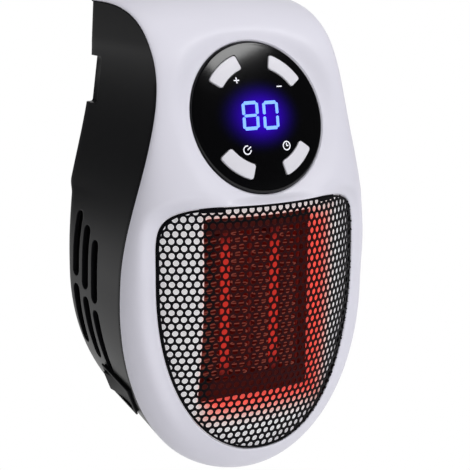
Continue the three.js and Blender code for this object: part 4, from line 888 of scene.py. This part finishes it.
def makeRim():
    # The pressed edge of the sheet and two tabs on its top
    g = grille
    wide, curve = g["rimWidth"], g["rimRound"]
    profile = [(-wide, wide), (-wide, g["rimEase"]), (-wide + g["rimEase"], 0), (-curve, 0)]
    profile += [(-curve + curve * sin(t), curve * (1 - cos(t))) for t in quarter(g["roundSteps"])]
    profile += [(0, g["rimDeep"]), (-wide, g["rimDeep"]), (-wide, wide)]

    def rimPoint(column, row):
        grow, deep = profile[row]
        spot = loopPoint(column, grow)
        return Vector((spot.x, sheetDepth(spot.x, spot.y) + deep, spot.y))

    forms = [gridForm(len(loop), len(profile) - 1, rimPoint)]
    for sign in (-1, 1):
        def tabPoint(column, row):
            x = sign * g["tabOffset"] + (column / g["tabSteps"] - 0.5) * g["tabWidth"]
            z = mix(outlet["top"] - g["tabFoot"], outlet["top"] + g["tabHeight"], row)
            return Vector((x, sheetDepth(x, z) + g["sunk"], z))

        tab = gridForm(g["tabSteps"], 1, tabPoint)
        faceOut(tab, (0, 0, 0), (0, -1, 0))
        thicken(tab, g["tabThick"])
        forms.append(tab)
    return joined(forms)


addPiece("grilleNet", makeNet(), "housing", "grille_black", ["outlet_grille"], sharp=40)
addPiece("grilleRim", makeRim(), "housing", "grille_black")
print("grille made")

# Baffle: a bulged plate behind the grille that rolls into the duct

baffle = {"gap": 4, "lap": 2.6, "topLap": 0.9, "rows": 22, "roll": 1.6, "rollRows": 5, "thick": 1.5,
          "halfWidth": 24.5, "halfHeight": 34.1, "corner": 2.0, "ductBack": 21, "plateSpot": (0, -5, -45)}


def ductPoint(x, z, grow):
    # Where the ray from the duct's middle to (x, z) crosses its rounded outline
    b = baffle
    wide, tall, corner = b["halfWidth"] + grow, b["halfHeight"] + grow, b["corner"] + grow
    size = hypot(x, z)
    ux, uz = abs(x) / size, abs(z) / size
    t = min(reach / way for reach, way in ((wide, ux), (tall, uz)) if way > 1e-9)
    if ux * t > wide - corner and uz * t > tall - corner:
        cx, cz = wide - corner, tall - corner
        middle = ux * cx + uz * cz
        t = middle + sqrt(max(0, middle ** 2 - (cx * cx + cz * cz - corner ** 2)))
    return x / size * t, z / size * t


def bafflePoint(column, row):
    # Rows run in over the plate, round the roll and back along the duct
    b = baffle
    outer = loopPoint(column, b["lap"])
    outer.y = min(outer.y, outlet["top"] + b["topLap"])
    inner = Vector(ductPoint(outer.x, outer.y, b["roll"]))
    if row <= b["rows"]:
        spot = outer.lerp(inner, row / b["rows"])
        return Vector((spot.x, sheetDepth(spot.x, spot.y) + b["gap"], spot.y))
    turn = pi / 2 * min(1, (row - b["rows"]) / b["rollRows"])
    x, z = ductPoint(outer.x, outer.y, b["roll"] * (1 - sin(turn)))
    if row > b["rows"] + b["rollRows"]:
        return Vector((x, b["ductBack"], z))
    return Vector((x, sheetDepth(*inner) + b["gap"] + b["roll"] * (1 - cos(turn)), z))


plate = gridForm(len(loop), baffle["rows"] + baffle["rollRows"] + 1, bafflePoint)
faceOut(plate, baffle["plateSpot"], (0, -1, 0))
thicken(plate, baffle["thick"])
addPiece("bafflePlate", plate, "housing", "baffle_white", ["air_baffle"], outward=False)
print("baffle made")

# Heater stack: glowing bars between packs of folded fins

stack = {"front": heat["stackFront"], "back": 18.5, "half": 27, "reach": 30.7, "finWidth": 7.5,
         "finPitch": 2.6, "sheet": 0.16, "perFold": 12, "foldPower": 0.35, "finMargin": 0.4,
         "finPlaces": {"inner": 0.9, "outer": 12.8}, "barLeft": 8.7, "barWidth": 3.8,
         "barRound": 0.5, "plate": 0.6, "plateRound": 0.2}


def makeFins(left):
    s = stack
    steps = round(2 * s["half"] / s["finPitch"]) * s["perFold"]
    end = s["half"] - s["finMargin"]

    def foldPoint(column, row):
        swing = sin(2 * pi * column / s["perFold"])
        swing = (abs(swing) ** s["foldPower"]) * (1 if swing >= 0 else -1)
        x = left + s["finWidth"] / 2 + swing * (s["finWidth"] / 2 - s["sheet"])
        return Vector((x, mix(s["front"], s["back"], row / 2), mix(-end, end, column / steps)))

    fins = gridForm(steps, 2, foldPoint)
    bmesh.ops.recalc_face_normals(fins, faces=fins.faces)
    thicken(fins, s["sheet"])
    return fins


def makeBar(left, right, edge, steps):
    s = stack
    return box((left, s["front"], -s["reach"]), (right, s["back"], s["reach"]), edge, steps)


for side, sign in (("Left", -1), ("Right", 1)):
    for place, near in stack["finPlaces"].items():
        left = near if sign > 0 else -near - stack["finWidth"]
        addPiece(f"finPack{place.title()}{side}", makeFins(left), "housing", "fin_aluminium",
                 [f"fin_pack_{place}_{side.lower()}"], sharp=50)
    ends = sorted((sign * stack["barLeft"], sign * (stack["barLeft"] + stack["barWidth"])))
    addPiece(f"heaterBar{side}", makeBar(*ends, stack["barRound"], 3), "housing", "bar_red",
             [f"heater_bar_{side.lower()}"], "bar_hot")
addPiece("heaterPlate", makeBar(-stack["plate"], stack["plate"], stack["plateRound"], 2), "housing",
         "bar_red", ["heater_centre_plate"])
print("heater made")

# Display panel: a domed disc with a rounded edge and four key openings

panel = {"radius": 27.0, "dome": 2.8, "edge": 0.9, "skirt": 7.7, "skirtThick": 2.3, "rings": 34,
         "around": 160, "wall": 2, "cut": (-14, 3), "roundSteps": 5}
keys = {"inner": 17.6, "outer": 23.0, "span": radians(37), "corner": 1.1, "proud": 0.4, "gap": 0.3,
        "depth": 2.6, "round": 0.35, "arcSteps": 10, "cornerSteps": 5,
        "places": {"upper_left": 125, "upper_right": 51.5, "lower_left": -125.5, "lower_right": -51.5}}
domeRadius = (panel["radius"] ** 2 + panel["dome"] ** 2) / (2 * panel["dome"])


def domeAt(radius):
    return -(sqrt(domeRadius ** 2 - radius ** 2) - (domeRadius - panel["dome"]))


def keyOutline(grow, turn):
    # A sector of a ring with rounded corners, first as (radius, angle)
    k = keys
    inner, outer, corner = k["inner"] - grow, k["outer"] + grow, k["corner"]
    half = k["span"] / 2 + grow / k["inner"]
    points = []
    for radius, other, sense in ((outer, inner, 1), (inner, outer, -1)):
        eased = half - corner / radius
        points += [(radius, mix(-eased, eased, t) * sense) for t in evenly(0, 1, k["arcSteps"])]
        bends = [((radius, eased), (radius, half), (radius - sense * corner, half)),
                 ((other + sense * corner, half), (other, half), (other, half - corner / other))]
        for bend, kept in zip(bends, (slice(1, None), slice(None, -1))):
            for t in evenly(0, 1, k["cornerSteps"])[kept]:
                spot = [mix(mix(a, b, t), mix(b, c, t), t) for a, b, c in zip(*bend)]
                points.append((spot[0], spot[1] * sense))
    return [(r * cos(turn + a), r * sin(turn + a)) for r, a in points]


def makePanel():
    p = panel
    edge, flat, inside = p["edge"], p["radius"] - p["edge"], p["radius"] - p["skirtThick"]
    profile = [(r, domeAt(r)) for r in evenly(0, flat, p["rings"])]
    side = domeAt(flat) + edge
    profile += [(flat + edge * sin(t), side - edge * cos(t)) for t in quarter(p["roundSteps"])]
    profile += [(p["radius"], p["skirt"]), (inside, p["skirt"]), (inside, domeAt(inside) + p["wall"]),
                (0, domeAt(0) + p["wall"])]
    openings = [prism(keyOutline(keys["gap"], radians(t)), *p["cut"]) for t in keys["places"].values()]
    return carved(lathe(profile, p["around"]), cuts=openings)


def onDisplay(form):
    bmesh.ops.recalc_face_normals(form, faces=form.faces)
    bmesh.ops.transform(form, matrix=displayTurn, verts=form.verts)
    return form


def markPlace(piece):
    # Each point's place in the panel's plane, for the glow
    back = (toFrame @ displayTurn).inverted()
    attribute = piece.data.attributes.new("panelPlace", "FLOAT_VECTOR", "POINT")
    for k, vert in enumerate(piece.data.vertices):
        spot = back @ vert.co
        attribute.data[k].vector = (spot.x, 0, spot.z)


def makeKey(turn):
    k = keys
    form = prism(keyOutline(0, turn), 0, k["depth"])
    top = [f for f in form.faces if len(f.verts) > 4 and f.calc_center_median().y < k["depth"] / 2]
    roundEdges(form, [e for f in top for e in f.edges], k["round"])
    for vert in form.verts:
        vert.co.y += domeAt(min(hypot(vert.co.x, vert.co.z), panel["radius"])) - k["proud"]
    return onDisplay(form)


markPlace(addPiece("displayPanel", onDisplay(makePanel()), "housing", "panel_gloss", ["display_panel"],
                   outward=False))
for place, turn in keys["places"].items():
    addPiece(f"key_{place}".replace("_left", "Left").replace("_right", "Right"), makeKey(radians(turn)),
             f"key_{place}", "key_white", [f"button_{place}"])

# Digits and marks lie on the dome

digits = {"height": 10.2, "width": 6.7, "bar": 1.2, "gap": 0.22, "slant": 0.09, "tipShare": 0.55,
          "bluntShare": 0.4, "middleShare": 0.8,
          "places": [(-4.88, 0.25, "abcdefg"), (3.52, -0.05, "abcdef")]}
marks = {"line": 0.42, "lift": 0.03, "thick": 0.05, "arcSteps": 28, "arm": 1.1, "plus": (-8.0, 13.0),
         "minus": (9.3, 10.0), "clock": (8.6, -11.2), "clockRadius": 1.5, "clockArc": (0, 359.9),
         "clockHand": (0.45, 0.5), "clockArm": 0.4, "power": (-8.0, -11.6), "powerRadius": 1.45,
         "powerArc": (38, 322), "powerStroke": 0.85, "lean": 35}


def onDome(points):
    form = prism(points, 0, marks["thick"])
    for vert in form.verts:
        vert.co.y += domeAt(hypot(vert.co.x, vert.co.z)) - marks["lift"]
    return onDisplay(form)


def segmentPoints(kind, cx, cz):
    # One bar of a seven-segment digit, a at the top and on clockwise, g in the middle
    d = digits
    wide, tall, half = d["width"] / 2, d["height"] / 2, d["bar"] / 2
    level = kind in "adg"
    reach = (wide - half if level else tall / 2 - half / 2) - d["gap"]
    tip, blunt = half * d["tipShare"], half * d["tipShare"] * d["bluntShare"]
    outline = [(-reach, -blunt), (-reach + tip, -half), (reach - tip, -half), (reach, -blunt),
               (reach, blunt), (reach - tip, half), (-reach + tip, half), (-reach, blunt)]
    side, middle = wide - half, tall / 2 - half / 4
    ox, oz = {"a": (0, tall - half), "g": (0, 0), "d": (0, half - tall), "b": (side, middle),
              "c": (side, -middle), "f": (-side, middle), "e": (-side, -middle)}[kind]
    if kind == "g":
        outline = [(x, z * d["middleShare"]) for x, z in outline]
    spots = [(x + ox, z + oz) if level else (z + ox, x + oz) for x, z in outline]
    return [(cx + x + (z * d["slant"]), cz + z) for x, z in spots]


def barMark(cx, cz, dx, dz):
    away = Vector((dz, -dx)).normalized() * (marks["line"] / 2)
    return onDome([(cx + end * dx + side * away.x, cz + end * dz + side * away.y)
                   for end, side in ((-1, -1), (1, -1), (1, 1), (-1, 1))])


def arcMark(cx, cz, radius, start, end):
    half = marks["line"] / 2
    turns = evenly(radians(start), radians(end), marks["arcSteps"])
    outer = [(cx + (radius + half) * cos(t), cz + (radius + half) * sin(t)) for t in turns]
    inner = [(cx + (radius - half) * cos(t), cz + (radius - half) * sin(t)) for t in turns[::-1]]
    return onDome(outer + inner)


def makeMarks():
    # Plus, minus, a leaning power mark and a clock
    m = marks
    arm, lean, stroke = m["arm"], m["lean"], m["powerStroke"]
    leanX, leanZ = cos(radians(lean)), sin(radians(lean))
    power, clock = m["power"], m["clock"]
    return joined([
        barMark(*m["plus"], arm, 0), barMark(*m["plus"], 0, arm), barMark(*m["minus"], arm, 0),
        arcMark(*power, m["powerRadius"], *(lean + end for end in m["powerArc"])),
        barMark(power[0] + leanX, power[1] + leanZ, stroke * leanX, stroke * leanZ),
        arcMark(*clock, m["clockRadius"], *m["clockArc"]),
        barMark(clock[0], clock[1] + m["clockHand"][0], 0, m["clockHand"][1]),
        barMark(clock[0] + m["clockArm"], clock[1], m["clockArm"], 0)])


segments = [onDome(segmentPoints(kind, cx, cz)) for cx, cz, kinds in digits["places"] for kind in kinds]
addPiece("digits", joined(segments), "housing", "digit_blue", ["digit_module"])
addPiece("panelMarks", makeMarks(), "housing", "key_white", look="mark_white")
print("display made")

# Rocker switch: a rounded bezel and a dished cap, drawn on a frame that lies in the cheek

rocker = {"length": 20, "breadth": 12.4, "bezel": 0.75, "sunk": 0.4, "rim": 1.4, "body": 10, "bodyInset": 0.7,
          "floor": 1.6, "mouthCut": 9, "round": 0.45, "gap": 0.3, "tilt": radians(5), "pivot": 2, "steps": 24,
          "capDepth": 3, "capBelly": 2.1, "capRound": 0.35, "capAngle": 40}


def makeBezel():
    r = rocker
    half, long, inset, rim = r["breadth"] / 2, r["length"] / 2, r["bodyInset"], r["rim"]
    ring = box((-half, -long, r["gap"]), (half, long, r["gap"] + r["bezel"]), r["round"], 3)
    body = box((-half + inset, -long + inset, -r["body"]), (half - inset, long - inset, r["gap"] * 2))
    mouth = box((-half + rim, -long + rim, -r["body"] + r["floor"]), (half - rim, long - rim, r["mouthCut"]))
    whole = carved(ring, [body], [mouth])
    bmesh.ops.transform(whole, matrix=rockerTurn, verts=whole.verts)
    return whole


def makeCap():
    r = rocker
    end = r["length"] / 2 - r["rim"] - 2 * r["gap"]
    half = r["breadth"] / 2 - r["rim"] - r["gap"]
    top = r["bezel"] + r["gap"] - r["sunk"]
    rise = end * tan(r["tilt"])
    upper = [(y, top + rise * (y / end) ** 2) for y in evenly(-end, end, r["steps"])]
    lower = [(y, -r["capDepth"] - r["capBelly"] * (1 - (y / end) ** 2))
             for y in evenly(end, -end, r["steps"])]
    cap = prism(upper + lower, -half, half, axis="x")
    roundEdges(cap, sharpEdges(cap, r["capAngle"]), r["capRound"])
    lean = (Matrix.Translation((0, 0, -r["pivot"])) @ Matrix.Rotation(r["tilt"], 4, "X")
            @ Matrix.Translation((0, 0, r["pivot"])))
    bmesh.ops.transform(cap, matrix=rockerTurn @ lean, verts=cap.verts)
    return cap


addPiece("rockerBezel", makeBezel(), "housing", "moulded_black", ["rocker_frame"], "rocker_black")
addPiece("rockerTop", makeCap(), "rocker", "moulded_black", ["rocker_cap"], "rocker_black")
print("rocker made")

# Swivelling plug and the screws at the back

plug = {"radius": 18.5, "flange": 21, "flangeFace": 52.8, "flangeThick": 3.4, "edge": 1.0, "facets": 128,
        "groove": (12.6, 12.4, 11.9, 11.7), "grooveDeep": 0.25, "spacing": 12.7, "slot": (1.05, 3.45),
        "slotRound": 0.3, "slotCut": (40, 70), "roundSteps": 4, "bladeHeight": 6.3, "bladeWidth": 1.5,
        "bladeRound": 0.25, "bladeAngle": 60, "tipShare": 0.8, "reach": 17.5, "tail": 14.5, "hole": 1.6,
        "holeReach": 11.7, "holeCut": 3, "holeFacets": 32}
screw = {"seat": 3.6, "length": 9, "point": 1.3, "radius": 1.3, "head": 2.7, "rim": 0.7, "crown": 1.2,
         "recess": (1.5, 0.32), "recessFoot": 0.9, "recessCut": 3, "facets": 40, "crownSteps": 6}


def makeDisc():
    p = plug
    edge, face, height = p["edge"], plugFace["depth"], plugFace["height"]
    step = p["flangeFace"] + p["flangeThick"]
    profile = [(0, p["flangeFace"]), (p["flange"], p["flangeFace"]), (p["flange"], step), (p["radius"], step),
               (p["radius"], face - edge)]
    profile += [(p["radius"] - edge * (1 - cos(t)), face - edge * (1 - sin(t)))
                for t in quarter(p["roundSteps"])]
    profile += [(radius, face - deep * p["grooveDeep"]) for radius, deep in zip(p["groove"], (0, 1, 1, 0))]
    disc = lathe(profile + [(0, face)], p["facets"], Matrix.Translation((0, 0, height)))
    wide, tall = p["slot"]
    return carved(disc, cuts=[
        box((across - wide, p["slotCut"][0], height - tall), (across + wide, p["slotCut"][1], height + tall),
            p["slotRound"]) for across in (-p["spacing"] / 2, p["spacing"] / 2)])


def makeBlade(sign):
    p = plug
    face, z = plugFace["depth"], plugFace["height"]
    half, across, width = p["bladeHeight"] / 2, sign * p["spacing"] / 2, p["bladeWidth"] / 2
    tip, tail = face + p["reach"], face - p["tail"]
    lower = [(tail, -half), (tip - half, -half), (tip - half / 3, -half * p["tipShare"]), (tip, -half / 2)]
    outline = [(y, z + up) for y, up in lower] + [(y, z - up) for y, up in lower[::-1]]
    form = prism(outline, across - width, across + width, axis="x")
    roundEdges(form, sharpEdges(form, p["bladeAngle"]), p["bladeRound"], 2)
    hole = cylinder(p["hole"], across - p["holeCut"], across + p["holeCut"], face + p["holeReach"], z,
                    p["holeFacets"], axis="x")
    return carved(form, cuts=[hole])


def makeScrew(across, height, seat):
    # Domed head with a cross recess, on a plain shank
    s = screw
    crown = seat + s["rim"]
    profile = [(0, seat - s["length"]), (s["radius"], seat - s["length"] + s["point"]), (s["radius"], seat),
               (s["head"], seat), (s["head"], crown)]
    profile += [(s["head"] * cos(t), crown + s["crown"] * sin(t)) for t in quarter(s["crownSteps"])]
    form = lathe(profile, s["facets"], Matrix.Translation((across, 0, height)))
    long, narrow = s["recess"]
    return carved(form, cuts=[
        box((across - a, seat + s["recessFoot"], height - b), (across + a, seat + s["recessCut"], height + b))
        for a, b in ((long, narrow), (narrow, long))])


addPiece("plugDisc", makeDisc(), "plug", "black_shell", ["plug_disc"])
for side, sign in (("Left", -1), ("Right", 1)):
    addPiece(f"plugBlade{side}", makeBlade(sign), "plug", "brass", [f"plug_blade_{side.lower()}"])
for k, (across, height, meet) in enumerate(posts):
    addPiece(f"caseScrew{k + 1}", makeScrew(across, height, meet + screw["seat"]), "housing", "steel",
             [f"case_screw_{k + 1}"])
print("plug and screws made")

# Camera: its place in the drawing, its turn, fall and roll, and its focal length in pixels

view = {"place": (-288.0, -421.8, 134.9), "turn": radians(33.16), "fall": radians(12.02),
        "roll": radians(0.67), "focal": 1477.0, "picture": 470, "sensor": 36}
turn, fall, roll = view["turn"], view["fall"], view["roll"]
forward = Vector((sin(turn) * cos(fall), cos(turn) * cos(fall), -sin(fall)))
level = Vector((cos(turn), -sin(turn), 0))
upright = level.cross(forward)
right = level * cos(roll) + upright * sin(roll)
up = -level * sin(roll) + upright * cos(roll)
cameraData = bpy.data.cameras.new("camera")
cameraData.sensor_width = view["sensor"]
cameraData.lens = view["focal"] / view["picture"] * view["sensor"]
camera = placed("camera", cameraData)
camera.matrix_world = (Matrix.Translation(toFrame @ Vector(view["place"]))
                       @ Matrix((right, up, -forward)).transposed().to_4x4())
bpy.context.scene.camera = camera

# Lamps in metres and watts; only a shiny one shows in reflections. The last is the heat inside the outlet

aim = (0, -0.04, -0.06)
heatSpot = toFrame @ Vector((0, 6.5, 0))
lights = {
    "key": {"place": (-0.75, -0.55, 0.75), "size": (0.9, 0.9), "power": 4.0, "color": (1, 0.99, 0.97)},
    "fill": {"place": (0.75, -0.85, 0.15), "size": (1.1, 1.1), "power": 2.8, "color": (0.96, 0.97, 1)},
    "strip": {"place": (0.58, -0.72, 0.90), "size": (0.62, 0.26), "power": 5.0, "color": (1, 1, 1),
              "shiny": True},
    "top": {"place": (0.05, 0.1, 1.0), "size": (0.8, 0.8), "power": 5.4, "color": (1, 1, 1)},
    "chin": {"place": (0.05, -0.9, -0.3), "size": (0.6, 0.6), "power": 4.2, "color": (1, 1, 1)},
    "heat": {"place": heatSpot, "size": (0.044, 0.058), "power": 0.008, "color": (1.0, 0.16, 0.05),
             "shiny": True, "aim": heatSpot + Vector((0, -1, 0))}}
for name, settings in lights.items():
    data = bpy.data.lights.new(name, "AREA")
    data.energy, data.color, data.shape = settings["power"], settings["color"], "RECTANGLE"
    data.size, data.size_y = settings["size"]
    lamp = placed(name, data)
    lamp.location = settings["place"]
    way = Vector(settings.get("aim", aim)) - lamp.location
    lamp.rotation_euler = way.to_track_quat("-Z", "Y").to_euler()
    lamp.visible_glossy = settings.get("shiny", False)

# Floor and surroundings: one shade for the light they send back, another where seen or reflected

studio = {"floor": -0.4, "floorHalf": 6, "floorColor": (0.85, 0.85, 0.86, 1), "air": (0.82, 0.83, 0.86, 1),
          "airStrength": 0.36, "backdrop": (0.54, 0.81, -0.22), "spread": (0.74, 0.92), "room": 0.035}


def whiteWhereSeen(tree, plain, white, output):
    # Camera, glossy and transmission rays get the white shader, all others the plain one
    rays = addNode(tree, "ShaderNodeLightPath").outputs
    seen = mathNode(tree, "MAXIMUM", rays["Is Camera Ray"], rays["Is Glossy Ray"])
    seen = mathNode(tree, "MAXIMUM", seen, rays["Is Transmission Ray"])
    choice = addNode(tree, "ShaderNodeMixShader", {0: seen, 1: plain.outputs[0], 2: white.outputs[0]})
    feed(tree, tree.nodes[output], {"Surface": choice.outputs[0]})


floorForm = bmesh.new()
bmesh.ops.create_grid(floorForm, x_segments=2, y_segments=2, size=studio["floorHalf"])
floorPiece = placed("floor", meshOf("floor", floorForm))
floorPiece.location.z = studio["floor"]
floorMaterial, floorTree, floorShader = newMaterial("floor")
floorTree.nodes.remove(floorShader)
whiteWhereSeen(floorTree, addNode(floorTree, "ShaderNodeBsdfDiffuse", {"Color": studio["floorColor"]}),
               addNode(floorTree, "ShaderNodeEmission"), "Material Output")
floorPiece.data.materials.append(floorMaterial)

# A reflection shows a white backdrop behind the heater and a dark room elsewhere
world = bpy.data.worlds.new("world")
bpy.context.scene.world = world
world.use_nodes = True
sky = world.node_tree
feed(sky, sky.nodes["Background"], {"Color": studio["air"], "Strength": studio["airStrength"]})
direction = addNode(sky, "ShaderNodeTexCoord").outputs["Generated"]
backdrop = rangeNode(sky, vectorNode(sky, "DOT_PRODUCT", direction, studio["backdrop"]), *studio["spread"],
                     studio["room"], 1, "SMOOTHSTEP")
looked = addNode(sky, "ShaderNodeLightPath").outputs["Is Camera Ray"]
whitened = addNode(sky, "ShaderNodeBackground", {
    "Color": (1, 1, 1, 1), "Strength": mathNode(sky, "MAXIMUM", looked, backdrop)})
whiteWhereSeen(sky, sky.nodes["Background"], whitened, "World Output")
bpy.context.scene.view_settings.view_transform = "Standard"
print("camera and light made")
